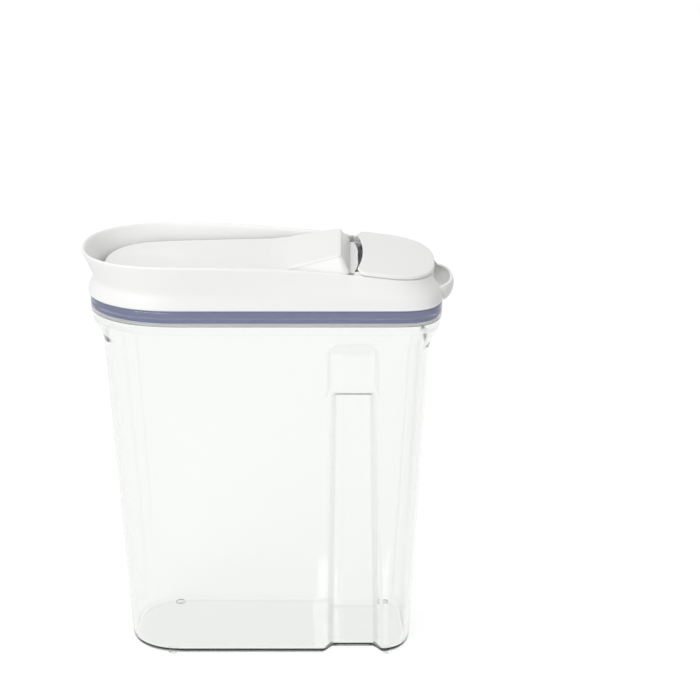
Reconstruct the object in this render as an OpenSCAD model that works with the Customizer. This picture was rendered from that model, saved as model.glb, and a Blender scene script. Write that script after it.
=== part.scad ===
// Cereal container with a flip spout, in millimetres.
// The origin is on the table under the middle of the whole object, +X points to the spout and +Z up.
// Every moulded shell is a loft of plan outlines, each made of two superelliptic ends and straight sides.

/* [Container] */
// Length over the walls at their foot
base_len = 190; // [184:1:196]
// Width over the walls at their foot
base_w = 77; // [74:1:80]
// Length over the walls at the shoulder
shoulder_len = 213; // [208:1:217]
// Width over the walls at the shoulder
shoulder_w = 87; // [84:1:89]
// Length over the mouth's rim
mouth_len = 228; // [226:1:230]
// Width over the mouth's rim
mouth_w = 91.4; // [90:0.2:92.4]
// Height of the moulding from its underside to the mouth's rim
body_h = 247.5; // [235:0.5:260]
// Height of the mouth over the shoulder
neck_h = 28.5; // [26:0.5:31]
// Height of the clear band round the mouth
band_h = 10.3; // [9.5:0.1:11]
// Thickness of the clear walls
wall = 2.2; // [1.8:0.1:2.6]
// Radius round the underside
base_r = 5; // [4:0.5:6]
// Height of the feet
foot_h = 2; // [1.5:0.1:3]
// Diameter of the feet
foot_d = 6.8; // [5:0.1:8]
// Distance of the feet at the tail from the origin
foot_tail = 66.8; // [60:0.2:72]
// Distance of the feet at the spout from the origin
foot_tip = 78; // [72:0.5:81]

/* [Grip recess] */
// Distance of the recess's middle from the origin, towards the spout
grip_x = 54.8; // [50:0.2:57]
// Width of the recess at the base
grip_base_w = 42; // [38:0.5:44]
// Width of the recess at its arch
grip_top_w = 36; // [32:0.5:38]
// Height of the arch above the table
grip_top = 196; // [170:1:205]
// Depth of the recess
grip_depth = 8; // [5:0.5:10]

/* [Lid] */
// Height from the lid's lower edge to the rim at its tail
lid_h = 29.3; // [28:0.1:31]
// How far the rim reaches past the mouth at the tail
tail_reach = 4.5; // [4.3:0.1:4.8]
// How far the scoop reaches past the mouth at the spout
spout_reach = 7.5; // [7.2:0.1:8]
// Fall of the rim from its level tail to the flap's tip
rim_drop = 13.2; // [12.8:0.1:13.6]
// Width over the rim at the tail
rim_w = 94; // [92:0.5:96]
// Width over the top edge where the flap sits
spout_w = 83.4; // [82:0.2:84.6]
// Thickness of the lid's walls
lid_wall = 2.4; // [2.2:0.1:2.8]
// Thickness of the rim's top edge
rim_t = 2.2; // [1.8:0.1:2.6]
// Height of the well's floor above the lid's lower edge
well_h = 6.3; // [5.8:0.1:6.6]
// Gap between the container's rim and the lid's lower edge
lid_gap = 1; // [0.8:0.1:1.4]

/* [Press lever] */
// Width of the lever's pad
lever_w = 73.6; // [70:0.2:75]
// Width of the nose's top edge
nose_w = 55; // [53:0.5:57]
// Width of the nose at its foot
nose_foot_w = 75; // [73.6:0.2:75.6]
// Height of the nose's top edge above the rim at the tail
nose_rise = 2.2; // [1.6:0.1:2.6]
// Thickness of the lever's top
lever_t = 2.2; // [1.8:0.1:2.4]
// Depth of the finger dish
dish = 1.6; // [0.6:0.1:2]
// Diameter of the lever's pin
lever_pin_d = 3; // [2.4:0.1:3.4]

/* [Flap] */
// Length of the flap from its heel to its tip
flap_len = 47.4; // [47:0.1:47.8]
// Thickness of the flap's plate
flap_t = 2.2; // [1.8:0.1:2.4]
// Rise of the plate's middle above its edges
flap_crown = 0.8; // [0:0.1:1]
// Angle through which the flap opens
flap_open = 75; // [60:1:76]
// Distance of the crank pins from the flap's hinge
crank_r = 5; // [4.6:0.1:5.2]
// Diameter of the flap's hinge pins
flap_pin_d = 2; // [1.6:0.1:2.2]

/* [Hidden] */
$fn = 48;
eps = 0.01;

// Clearances: a running pin, neighbours that slide past, and faces that only meet
pin_fit = 0.06;
run_gap = 0.4;
seat_gap = 0.1;

// Heights
base_z = foot_h;
mouth_z = base_z + body_h;
shoulder_z = mouth_z - neck_h;
ledge_z = mouth_z - band_h;
lid_z = mouth_z + lid_gap;
rim_z = lid_z + lid_h;
crease_h = 10;

// Places along the object, each from the one that it lines up with
body_x = (tail_reach - spout_reach) / 2;
tail_x = body_x - mouth_len / 2 - tail_reach;
tip_x = body_x + mouth_len / 2 + spout_reach;
flap_tip_x = tip_x - 12.6;
flap_heel_x = flap_tip_x - flap_len;
arc_x = flap_heel_x + 1;
hinge_x = flap_heel_x - 2.5;
rim_end_x = hinge_x - 4.5;
lever_x0 = tail_x + 14;
lever_x1 = rim_end_x - 0.2;
pivot_x = hinge_x - 77.5;
spring_x = pivot_x - 42;
// Where the rim starts to fall and to draw in
fall_x = tail_x + 50;
draw_x = tail_x + 60;
// Run and power of the end curve round the flap
front_run = 36;
front_power = 2.65;

// Stations along straight sides: they only carry the mesh
plain_mids = [body_x - 20, body_x + 20, body_x + 50];
chute_mids = [flap_heel_x + 10, flap_heel_x + 14];
lid_mids = concat([for (i = [0:5]) mix(tail_x + 75, hinge_x - 27.5, i / 5)],
    [hinge_x - 15.5, hinge_x - 5.5, flap_heel_x]);
well_mids = concat([for (i = [1:4]) mix(draw_x, rim_end_x, i / 5)], [rim_end_x + 0.6]);

function clamp(t) = min(1, max(0, t));
function smooth(t) = let (u = clamp(t)) u * u * (3 - 2 * u);
function mix(a, b, t) = a + (b - a) * t;

// Top edge of the lid: level round the tail, then falling to the spout
function rim_at(x) = rim_z - rim_drop * pow(max(0, x - fall_x) / (flap_tip_x - fall_x), 2);
// Half width of that edge: full round the tail, then drawn in to the flap
function top_half(x) = mix(rim_w, spout_w, smooth((x - draw_x) / (flap_heel_x - draw_x))) / 2;

// An end curve's half width, from 1 at its start to 0 at its tip
function curve(d, n) = pow(max(0, 1 - pow(clamp(d), n)), 1 / n);

// An outline is [left tip, right tip, half width, left end length, its power, right end length, its power]
function out_y(o, x) = o[2] * (x < o[0] + o[3] ? curve((o[0] + o[3] - x) / o[3], o[4]) :
    x > o[1] - o[5] ? curve((x - o[1] + o[5]) / o[5], o[6]) : 1);
function inset(o, d) = [o[0] + d, o[1] - d, o[2] - d, o[3] - d, o[4], o[5] - d, o[6]];

// Stations along an outline: m down the left end, the given middle ones, and m round the right end
function stations(o, mids, m) = let (
    last = mids[len(mids) - 1],
    start = last <= o[1] - o[5] ? 90 : acos(pow((last - o[1] + o[5]) / o[5], o[6] / 2))
) concat(
    [for (i = [0:m]) o[0] + o[3] * (1 - pow(cos(90 * i / m), 2 / o[4]))],
    mids,
    [for (i = [m - 1:-1:0]) o[1] - o[5] * (1 - pow(cos(start * i / m), 2 / o[6]))]);

// Half rings hold [x, y, z] points from the left tip to the right one, and skin() mirrors them
function flat_half(o, mids, m, z) = [for (x = stations(o, mids, m)) [x, out_y(o, x), z]];

module skin(halves, closed = false) {
    k = len(halves[0]);
    n = 2 * k - 2;
    points = [for (h = halves) each concat(
        [for (p = h) [p.x, -p.y, p.z]],
        [for (i = [k - 2:-1:1]) [h[i].x, h[i].y, h[i].z]])];
    last = (len(halves) - 1) * n;
    sides = [for (r = [0:len(halves) - (closed ? 1 : 2)]) for (i = [0:n - 1]) let (
        a = r * n, b = ((r + 1) % len(halves)) * n, j = (i + 1) % n)
        each [[a + i, b + i, b + j], [a + i, b + j, a + j]]];
    cap = concat([[0, 1, n - 1]],
        [for (i = [1:k - 3]) each [[i, i + 1, n - 1 - i], [i, n - 1 - i, n - i]]],
        [[k - 2, k - 1, k]]);
    caps = closed ? [] : concat(cap, [for (f = cap) [last + f[0], last + f[2], last + f[1]]]);
    polyhedron(points, concat(sides, caps));
}

module both_sides() {
    children();
    mirror([0, 1, 0]) children();
}

// A bar along Y between two distances from the middle plane
module bar(x, z, d, y0, y1) {
    translate([x, y1, z]) rotate([90, 0, 0]) cylinder(d = d, h = y1 - y0);
}

// A plate in the X-Z plane between two distances from the middle plane
module upright(y0, y1) {
    translate([0, y1, 0]) rotate([90, 0, 0]) linear_extrude(y1 - y0) children();
}

// The container

// Power of the end curve at the spout: the higher, the blunter
tip_power = 3.7;
function wall_t(z) = (z - base_z) / (shoulder_z - base_z);
function neck_t(z) = clamp((z - shoulder_z) / (ledge_z - shoulder_z));
function half_len(z) = z < shoulder_z ? mix(base_len, shoulder_len, wall_t(z)) / 2 :
    mix(shoulder_len, mouth_len, 1 - pow(1 - neck_t(z), 2)) / 2;
function half_w(z) = z < shoulder_z ? mix(base_w, shoulder_w, wall_t(z)) / 2 :
    mix(shoulder_w, mouth_w, pow(neck_t(z), 3)) / 2;
function body_outline(z) = [body_x - half_len(z), body_x + half_len(z), half_w(z),
    mix(38, 60, clamp(wall_t(z))), mix(2.4, 2.2, clamp(wall_t(z))),
    mix(26, 38, clamp(wall_t(z))), mix(3, tip_power, clamp(wall_t(z)))];
mouth = body_outline(mouth_z);

// Depth of the grip recess at a point of the wall
grip_slope = 8;
function grip_half(z) = mix(grip_base_w, grip_top_w, clamp((z - base_z) / (grip_top - base_z))) / 2;
function grip_cut(x, z) = grip_depth * smooth((grip_half(z) - abs(x - grip_x)) / grip_slope)
    * smooth((grip_top - z) / grip_slope);
grip_steps = [0, 0.25, 0.5, 0.75, 1];
function grip_stations(z, d) = concat(
    [for (s = grip_steps) grip_x - grip_half(z) - d + s * grip_slope],
    [for (i = [4:-1:0]) grip_x + grip_half(z) + d - grip_steps[i] * grip_slope]);

// A ring of the wall at height z, moved in by d, with the recess pressed in
function wall_ring(z, d, shift, height) = let (
    o = inset(body_outline(z), d),
    xs = stations(o, grip_stations(z, shift), 10)
) [for (x = xs) [x, max(0, out_y(o, x) - grip_cut(x, z)), height]];

round_steps = [0, 30, 60, 90];
arch_steps = [1, 0.75, 0.5, 0.25, 0];
neck_steps = [0, 0.15, 0.3, 0.5, 0.75, 1];
function outer_levels() = concat(
    [for (a = round_steps) [base_z + base_r * (1 - cos(a)), base_r * (1 - sin(a))]],
    [for (s = arch_steps) [grip_top - s * grip_slope, 0]],
    [for (s = neck_steps) [mix(shoulder_z, ledge_z, s), 0]],
    [[mouth_z - 0.6, 0], [mouth_z, 0.5]]);
inner_r = base_r - 1;
floor_z = base_z + 2.6;
lip_wall = 1.7;
function inner_levels() = concat(
    [[mouth_z, lip_wall - 0.3], [mouth_z - 1, lip_wall], [ledge_z, lip_wall], [ledge_z, wall + 1],
        [ledge_z - 3, wall + 1], [ledge_z - 6, wall]],
    [for (s = [0.5, 0.3, 0.15, 0]) [mix(shoulder_z, ledge_z, s), wall]],
    [for (i = [4:-1:0]) [grip_top - arch_steps[i] * grip_slope, wall]],
    [for (i = [3:-1:0]) [floor_z + inner_r * (1 - cos(round_steps[i])),
        wall + inner_r * (1 - sin(round_steps[i]))]]);

module container() {
    color("lightcyan", 0.35) {
        skin(concat(
            [for (l = outer_levels()) wall_ring(l[0], l[1], 0, l[0])],
            [for (l = inner_levels()) wall_ring(l[0], l[1], 0, l[0])]));
        for (x = [-foot_tail, foot_tip]) both_sides()
            translate([x, base_w / 2 - 5, 0]) cylinder(d = foot_d, h = base_z + 1);
    }
}

// The lid's shell

// Left tip of the lid's side over its height: bulge, finger waist and flared lip
tail_profile = [[0, 3.1], [0.14, 3.9], [0.26, 5.7], [0.38, 7.1], [0.55, 5.2], [0.72, 3.1], [0.86, 1.3],
    [1, 0]];
// Right tip of the lid's side over its height
front_profile = [[0, 6.9], [0.34, 7.4], [0.6, 9.2], [0.85, 11.6], [1, 12.6]];
side_steps = [0, 0.07, 0.14, 0.26, 0.34, 0.4, 0.48, 0.56, 0.64, 0.72, 0.79, 0.86, 0.93, 1];

function lid_low_half() = mouth_w / 2 + 0.9;
crease = crease_h / lid_h;
function lean(s) = clamp((s - crease) / (1 - crease));
function lid_outline(s) = [tail_x + lookup(s, tail_profile), tip_x - lookup(s, front_profile),
    lid_low_half(), mix(60, 62, s), mix(2.2, 2.3, s), mix(38, front_run, s), mix(tip_power, front_power, s)];
function lid_half_y(x, s, o) = out_y(o, x) * mix(1, top_half(x) / lid_low_half(), lean(s));
function lid_ring(s, drop) = let (o = lid_outline(s)) [for (x = stations(o, lid_mids, 10))
    [x, lid_half_y(x, s, o), mix(lid_z, rim_at(x) - drop * step_at(x), s)]];
// The edge steps down under the flap
deck_drop = 0.3;
function step_at(x) = smooth((x - flap_heel_x + 8) / 8);

// The well that the lever sits in: its walls flare out to the rim
well_z = lid_z + well_h;
well_profile = [[0, 11.6], [5.2, 10.8], [10.2, 9], [16.2, 6], [23, 2.2], [29, -1]];
function well_outline(p) = [tail_x + p[1], 2 * tip_x, 1, 60 - p[1], 2.3, 1, 2];
function well_ring(p) = let (o = well_outline(p)) concat(
    [for (i = [0:10]) let (x = o[0] + o[3] * (1 - pow(cos(9 * i), 2 / o[4])))
        [x, out_y(o, x) * well_half(x, p), well_z + p[0]]],
    [for (x = well_mids) [x, well_half(x, p), well_z + p[0]]],
    [[rim_end_x + 1.4, 0, well_z + p[0]]]);
function well_half(x, p) = top_half(x) - rim_t - 0.14 * (23 - p[0]) + (p[0] > 23 ? 0.8 : 0);

// The chute that the cereal pours through, and the scoop at its end
bridge_x = hinge_x + 0.3;
chute_half = 28.2;
chute_wall = 2.2;
chute_outer = chute_half + chute_wall;
chute_low = [bridge_x, flap_tip_x - 8.4, chute_half, 6, 2.6, 30, 2.4];
chute_high = [bridge_x, flap_tip_x - 2.9, chute_half, 6, 2.6, 30, 2.4];
scoop_z = lid_z + 7;
scoop_low = lid_z - 3;
scoop_half = 25;
scoop_steps = [[0, 3.6], [0.12, 1.6], [0.3, 0.5], [0.55, 0], [0.85, 0.2], [1, 0.8]];
function scoop_outline(d) = [tip_x - 30, tip_x - d, scoop_half - d, 4, 2, 15, 2.3];
channel_steps = [[-5.6, 9], [-4, 5], [-2, 3], [0, 2.5]];
notch_half = 21.3;

// The hinge and the bays beside the chute where the linkage moves
hinge_z = rim_at(flap_heel_x) - 2.1;
bay_in = chute_outer + 0.2;
bay_out = spout_w / 2 - 2.6;
arm_out = bay_out - run_gap;
arm_in = arm_out - 3.4;
lug_out = arm_in - run_gap;
lug_in = lug_out - 3.4;
bay_floor = lid_z + 7.5;
bay_x1 = hinge_x + 10.1;
heel_step_z = hinge_z + 1.9;
ledge_top_z = hinge_z + 0.4;
pin_depth = 2;

module lid_solid() {
    skin([for (s = side_steps) lid_ring(s, deck_drop)]);
    intersection() {
        skin([for (p = scoop_steps)
            flat_half(scoop_outline(p[1]), [tip_x - 23, tip_x - 20], 8, mix(scoop_low, scoop_z, p[0]))]);
        scoop_side();
    }
}

// The scoop hangs in front of the mouth's rim and clears it
module scoop_side() {
    difference() {
        translate([tip_x - 30, -rim_w / 2, scoop_low - 1]) cube([40, rim_w, 30]);
        skin([for (z = [scoop_low - 2, lid_z + eps]) flat_half(inset(mouth, -0.8), plain_mids, 16, z)]);
    }
}

module lid_openings() {
    skin([for (p = well_profile) well_ring(p)]);
    // Hollow under the floor
    skin([for (z = [lid_z - 1, well_z - 1.8]) flat_half(inset(lid_outline(0), lid_wall), plain_mids, 12, z)]);
    // Deck under the flap, and the chute through it
    skin([for (d = [4, -3]) deck_ring(d)]);
    skin([flat_half(chute_low, chute_mids, 8, lid_z - 2), flat_half(chute_low, chute_mids, 8, lid_z + 1),
        flat_half(chute_high, chute_mids, 8, lid_z + 12), flat_half(chute_high, chute_mids, 8, rim_z)]);
    // Pouring channel through the end wall into the scoop
    skin([for (p = concat(channel_steps, [[20, 2.5]]))
        flat_half([tip_x - 40, tip_x - p[1], notch_half - (p[1] - 2.5) * 0.5, 4, 2, 13, 2.3],
            [tip_x - 32, tip_x - 23], 8, scoop_z + p[0])]);
    both_sides() {
        translate([rim_end_x, bay_in, bay_floor]) cube([bay_x1 - rim_end_x, bay_out - bay_in, 30]);
        translate([bay_x1 + 2, bay_in + 1, lid_z - 1]) cube([22, bay_out - bay_in - 2, 12]);
    }
    // Low step between the rim's end and the flap's heel, and the ledge behind the chute
    translate([rim_end_x, -rim_w, heel_step_z]) cube([flap_heel_x - rim_end_x - 0.3, 2 * rim_w, lid_h]);
    translate([rim_end_x, -bay_in, ledge_top_z]) cube([flap_heel_x - rim_end_x, 2 * bay_in, lid_h]);
}
deck = [flap_heel_x + 0.1, flap_tip_x - 2.6, spout_w / 2 - 3, 3, 4, front_run - 2, front_power];
function deck_ring(d) = [for (x = stations(deck, [flap_heel_x + 10, flap_heel_x + 11], 10))
    [x, out_y(deck, x), rim_at(x) - d]];

module lever_bracket() {
    both_sides() upright(bracket_in, bracket_out) {
        translate([pivot_x, pivot_z]) circle(d = 8);
        translate([pivot_x - 4, well_z - 1]) square([8, pivot_z - well_z + 1]);
    }
}

module lid_shell() {
    color("whitesmoke") difference() {
        union() {
            difference() {
                lid_solid();
                lid_openings();
            }
            // Bridge between the well and the chute, with the ledge on top
            translate([rim_end_x + 0.5, -bay_in, well_z - 1])
                cube([bridge_x - rim_end_x - 0.5, 2 * bay_in, ledge_top_z - well_z + 1]);
            lever_bracket();
            translate([spring_x, 0, well_z - 1]) cylinder(d = post_d, h = 4);
        }
        both_sides() bar(hinge_x, hinge_z, flap_pin_d, arm_out, bay_out + pin_depth);
        bar(pivot_x, pivot_z, lever_pin_d, -bracket_out - eps, bracket_out + eps);
    }
}

// The plug under the shell, which holds the gasket

plug_in = 4.6;
plug = inset(mouth, plug_in);
flange = inset(mouth, lip_wall + run_gap);
plug_top = well_z - 1.8 - seat_gap;
flange_h = 2.2;
gasket_gap = 0.3;
flange_z = ledge_z + seat_gap + 0.2;

module lid_plug() {
    color("white") difference() {
        union() {
            difference() {
                skin([for (z = [flange_z, plug_top]) flat_half(plug, plain_mids, 12, z)]);
                skin([for (z = [flange_z + 2, plug_top + 1]) flat_half(inset(plug, 1.8), plain_mids, 12, z)]);
            }
            skin([for (z = [flange_z, flange_z + flange_h]) flat_half(flange, plain_mids, 12, z)]);
            skin([for (z = [flange_z, lid_z + 1]) flat_half(inset(chute_low, -chute_wall), chute_mids, 8, z)]);
        }
        skin([for (z = [flange_z - 1, lid_z + 3]) flat_half(chute_low, chute_mids, 8, z)]);
    }
}

// The gasket: a band inside the clear rim with a thin lip over it

module lid_gasket() {
    z0 = flange_z + flange_h + seat_gap;
    z1 = mouth_z + seat_gap;
    z2 = lid_z - seat_gap;
    outer = lip_wall + gasket_gap;
    inner = plug_in - seat_gap;
    rib = 0.35;
    profile = [[z0, outer + rib], [z0 + 0.6, outer], [z0 + 2, outer], [z0 + 2.6, outer + rib],
        [z0 + 3.4, outer + rib], [z0 + 4, outer], [z1 - 0.8, outer], [z1, outer], [z1, 0.6], [z2, 0.6],
        [z2, inner], [z0, inner]];
    color("slategray")
        skin([for (p = profile) flat_half(inset(mouth, p[1]), plain_mids, 12, p[0])], closed = true);
}

// The press lever: a shallow shell with a dished pad, a rising nose and two lugs

pivot_z = well_z + 7.2;
bracket_in = 24.6;
bracket_out = 28;
rib_out = bracket_in - run_gap;
rib_in = rib_out - 3;
nose_x = lever_x1 - 5.2;
nose_z = rim_z + nose_rise;
pad_z = rim_z - 11.6;
ramp_run = 39.6;
ramp_x = nose_x - ramp_run;
ramp_ease = 6;
narrow_x = lever_x0 + 46;
skirt = 3.4;
nose_skirt = 10.2;

// Share of the way up the ramp, eased in at its start
function ramp_t(x) = let (late = 1 - clamp((x - ramp_x + ramp_ease) / (2 * ramp_ease)))
    clamp((x - ramp_x + ramp_ease * late) / ramp_run);
function lever_top(x) = let (pad = pad_z + (x - lever_x0) * 0.042)
    x < ramp_x - ramp_ease ? pad : mix(pad, nose_z, ramp_t(x));
function dish_at(x, y) = dish * smooth(1.35 * (1 - sqrt(pow((x - lever_x0 - 30) / 30, 2) + pow(y / 25, 2))));
// Half width: a little narrower towards the ramp, then drawn in to the nose's top and out to its foot
function lever_half(x, top) = mix(lever_w / 2 - 3 * clamp((x - narrow_x) / (ramp_x - narrow_x)),
    (top ? nose_w : nose_foot_w) / 2, clamp((x - ramp_x) / ramp_run));
function skirt_at(x) = mix(skirt, nose_skirt, clamp((x - ramp_x) / ramp_run));
tail_run = 34;
function lever_outline(top) = [lever_x0, top ? nose_x : lever_x1, 1, tail_run, 2.4, top ? 5 : 4, 2.4];
lever_mids = concat([for (i = [0:6]) mix(lever_x0 + tail_run + 4, ramp_x - ramp_ease, i / 6)],
    [for (d = [0, 6, 18, 30]) ramp_x + d]);

// Half ring of the lever: scaled in towards its middle line, at a drop below the top
function lever_ring(top, d, scale, drop) = let (o = lever_outline(top))
    [for (x = stations(o, lever_mids, 8)) let (
    mid = clamp((x - lever_x0 - 20) / (o[1] - lever_x0 - 30)),
    xx = mix(mix(lever_x0 + 20, o[1] - 10, mid), x, scale),
    y = max(0, out_y(o, x) * lever_half(x, top) - d) * scale,
    xs = x < lever_x0 + tail_run ? xx + d * scale * (lever_x0 + tail_run - x) / tail_run :
        x > o[1] - 5 ? xx - d * scale * (x - o[1] + 5) / 5 : xx)
    [xs, y, lever_top(xs) - dish_at(xs, y) - drop(xs)]];
function level(h) = function (x) h;

lug_r = 2.9;
neck_r = 1.7;
neck_drop = 4.8;
neck_run = 8;
slot_back = -0.3;
slot_ahead = 1.1;
slot_slack = 0.24;
crank_a = -flap_open / 2;
crank_x = hinge_x + crank_r * cos(crank_a);
crank_z = hinge_z + crank_r * sin(crank_a);
crank_d = 2.6;
// The stem stands inside the skirt: its top is a little above the skirt's lower edge
stem_x = crank_x - 21;
stem_top = lever_top(stem_x) - skirt_at(stem_x) + 1.8;

// A slot round the crank pin's travel, as seen from the lever
module slot(r) {
    for (d = [slot_back, slot_ahead]) translate([crank_x + d, crank_z]) circle(r = r);
    translate([crank_x + slot_back, crank_z - r]) square([slot_ahead - slot_back, 2 * r]);
}

module lever_lug() {
    upright(lug_in, lug_out) difference() {
        union() {
            slot(lug_r);
            hull() {
                translate([crank_x - 1.5, crank_z - 1]) circle(r = lug_r - 1);
                translate([crank_x - neck_run, crank_z - neck_drop]) circle(r = neck_r);
            }
            hull() {
                translate([crank_x - neck_run, crank_z - neck_drop]) circle(r = neck_r);
                translate([stem_x + 2, crank_z - 2.5]) circle(r = neck_r);
            }
            translate([stem_x, crank_z - 3]) square([7.4, stem_top - crank_z + 3]);
        }
        slot(crank_d / 2 + slot_slack);
    }
}

module press_lever() {
    color("white") difference() {
        union() {
            skin([
                lever_ring(true, lever_t, 0.08, level(lever_t)),
                lever_ring(true, lever_t, 0.55, level(lever_t)),
                lever_ring(true, lever_t, 0.85, level(lever_t)),
                lever_ring(true, lever_t, 1, level(lever_t)),
                lever_ring(false, 1.8, 1, function (x) skirt_at(x)),
                lever_ring(false, 0, 1, function (x) skirt_at(x)),
                lever_ring(true, -0.1, 1, level(1.4)),
                lever_ring(true, 0.5, 1, level(0.4)),
                lever_ring(true, 1.6, 1, level(0)),
                lever_ring(true, 1.6, 0.85, level(0)),
                lever_ring(true, 1.6, 0.7, level(0)),
                lever_ring(true, 1.6, 0.55, level(0)),
                lever_ring(true, 1.6, 0.08, level(0))]);
            both_sides() {
                upright(rib_in, rib_out) {
                    translate([pivot_x, pivot_z]) circle(d = 7);
                    translate([pivot_x - 3.5, pivot_z])
                        square([7, lever_top(pivot_x) - lever_t - pivot_z + 0.6]);
                }
                lever_lug();
            }
            translate([spring_x, 0, spring_top - 2]) cylinder(d = post_d, h = lever_top(spring_x) - spring_top);
        }
        bar(pivot_x, pivot_z, lever_pin_d + 2 * pin_fit, -rib_out - eps, rib_out + eps);
    }
}

module lever_pin() {
    color("silver") bar(pivot_x, pivot_z, lever_pin_d, -bracket_out, bracket_out);
}

// The return spring: one wire wound on a helix

spring_d = 12;
wire_d = 1.2;
post_d = spring_d - 2 * wire_d - 1;
spring_turns = 3.5;
turn_steps = 14;
spring_low = well_z + seat_gap;
spring_edge = spring_x - spring_d / 2;
spring_top = lever_top(spring_edge) - dish_at(spring_edge, 0) - lever_t - seat_gap;
wire_sides = 8;

module lever_spring() {
    r = (spring_d - wire_d) / 2;
    steps = spring_turns * turn_steps;
    rise = spring_top - spring_low - wire_d;
    points = [for (i = [0:steps]) let (a = 360 * i / turn_steps, h = spring_low + wire_d / 2 + rise * i / steps)
        for (k = [0:wire_sides - 1]) let (b = 360 * k / wire_sides, q = r + wire_d / 2 * cos(b))
        [spring_x + q * cos(a), q * sin(a), h + wire_d / 2 * sin(b)]];
    faces = [for (i = [0:steps - 1]) for (k = [0:wire_sides - 1]) let (
        a = i * wire_sides, b = a + wire_sides, j = (k + 1) % wire_sides)
        each [[a + k, a + j, b + j], [a + k, b + j, b + k]]];
    first = [for (k = [wire_sides - 1:-1:0]) k];
    end = [for (k = [0:wire_sides - 1]) steps * wire_sides + k];
    color("lightgray") polyhedron(points, concat(faces, [first, end]));
}

// The flap: a thin crowned plate with a front tongue, two arms and their crank pins

arc_half = 34;
arc_depth = 3.6;
flap_mids = [for (d = [4, 8]) flap_heel_x + d];
function flap_rear(y) = arc_x - arc_depth * pow(y / arc_half, 2);
function flap_y(x) = top_half(x) * curve((x - flap_tip_x + front_run) / front_run, front_power);
front_steps = [for (i = [10:-1:0]) flap_tip_x - front_run * (1 - pow(cos(9 * i), 2 / front_power))];
// The plate's edge from the middle of its rear arc, round the heel and along the side to the tip
flap_edge = concat(
    [for (t = [0, 0.24, 0.47, 0.7, 0.88, 1]) [flap_rear(t * arc_half), t * arc_half]],
    [[flap_heel_x - 1.7, bay_out - 2.4], [flap_heel_x - 0.7, bay_out - 0.2], [flap_heel_x, bay_out + 1.2],
        [flap_heel_x + 0.8, flap_y(flap_heel_x) - 0.3]],
    [for (x = concat(flap_mids, front_steps)) [x, flap_y(x)]]);
flap_mid_x = (flap_heel_x + flap_tip_x) / 2;
function flap_top(x, y) = let (share = min(1, abs(y) / flap_y(min(x, flap_tip_x - 0.1))))
    rim_at(x) + flap_t + flap_crown * (1 - share * share);
function flap_ring(scale, drop) = [for (p = flap_edge) let (x = mix(flap_mid_x, p.x, scale), y = p.y * scale)
    [x, y, flap_top(x, y) - drop]];

tongue_low = scoop_z + 1;
tongue_half = notch_half - 0.6;
function tongue_outline(d) = [flap_heel_x, flap_tip_x - 0.3 - d, spout_w / 2 - 0.7 - d, 4, 2,
    front_run - 1 - d, front_power];
module tongue() {
    intersection() {
        difference() {
            skin([for (z = [tongue_low, rim_at(flap_tip_x) + 1])
                flat_half(tongue_outline(0), chute_mids, 10, z)]);
            skin([for (z = [tongue_low - 1, rim_z]) flat_half(tongue_outline(2), chute_mids, 10, z)]);
        }
        translate([tip_x - 30, -tongue_half, 0]) cube([30, 2 * tongue_half, 2 * rim_z]);
    }
}

module flap_arm() {
    upright(arm_in, arm_out) hull() {
        translate([hinge_x, hinge_z]) circle(d = 5);
        translate([crank_x, crank_z]) circle(d = 4.6);
        translate([bay_x1 - 1, rim_at(bay_x1) - 0.6]) circle(d = 2);
        translate([hinge_x + 3, hinge_z + 2.3]) circle(d = 2);
    }
    bar(crank_x, crank_z, crank_d, lug_in, arm_in + 1);
}

module flap() {
    color("whitesmoke") difference() {
        union() {
            skin([flap_ring(0.1, flap_t), flap_ring(0.5, flap_t), flap_ring(0.8, flap_t), flap_ring(0.985, flap_t),
                flap_ring(1, flap_t - 0.3), flap_ring(1, 1), flap_ring(0.99, 0.3), flap_ring(0.965, 0),
                flap_ring(0.8, 0), flap_ring(0.5, 0), flap_ring(0.1, 0)]);
            tongue();
            both_sides() flap_arm();
        }
        both_sides() bar(hinge_x, hinge_z, flap_pin_d + 2 * pin_fit, arm_in - 1, arm_out + 1);
    }
}

// The seal between the flap and the chute's edge
module flap_seal() {
    o = [bridge_x + 1.2, flap_tip_x - 3.9, chute_outer, 7, 2.6, 32, 2.4];
    mids = [flap_heel_x + 8, each chute_mids];
    depth = 3.9;
    function ring(d, drop) = let (edge = inset(o, d))
        [for (x = stations(edge, mids, 9)) [x, out_y(edge, x), rim_at(x) - drop]];
    color("slategray") skin([ring(0.3, depth), ring(0, depth / 2), ring(0.3, seat_gap), ring(2, seat_gap),
        ring(2.2, depth)], closed = true);
}

module flap_pin() {
    color("silver") bar(hinge_x, hinge_z, flap_pin_d, arm_in + 0.3, bay_out + pin_depth - seat_gap);
}

module flap_pin_front() {
    mirror([0, 1, 0]) flap_pin();
}

module flap_pin_rear() {
    flap_pin();
}

container();
lid_shell();
lid_plug();
lid_gasket();
press_lever();
lever_pin();
lever_spring();
flap();
flap_seal();
flap_pin_front();
flap_pin_rear();
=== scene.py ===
# Cereal container with a flip spout: the look of its pieces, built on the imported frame.
import math

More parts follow.
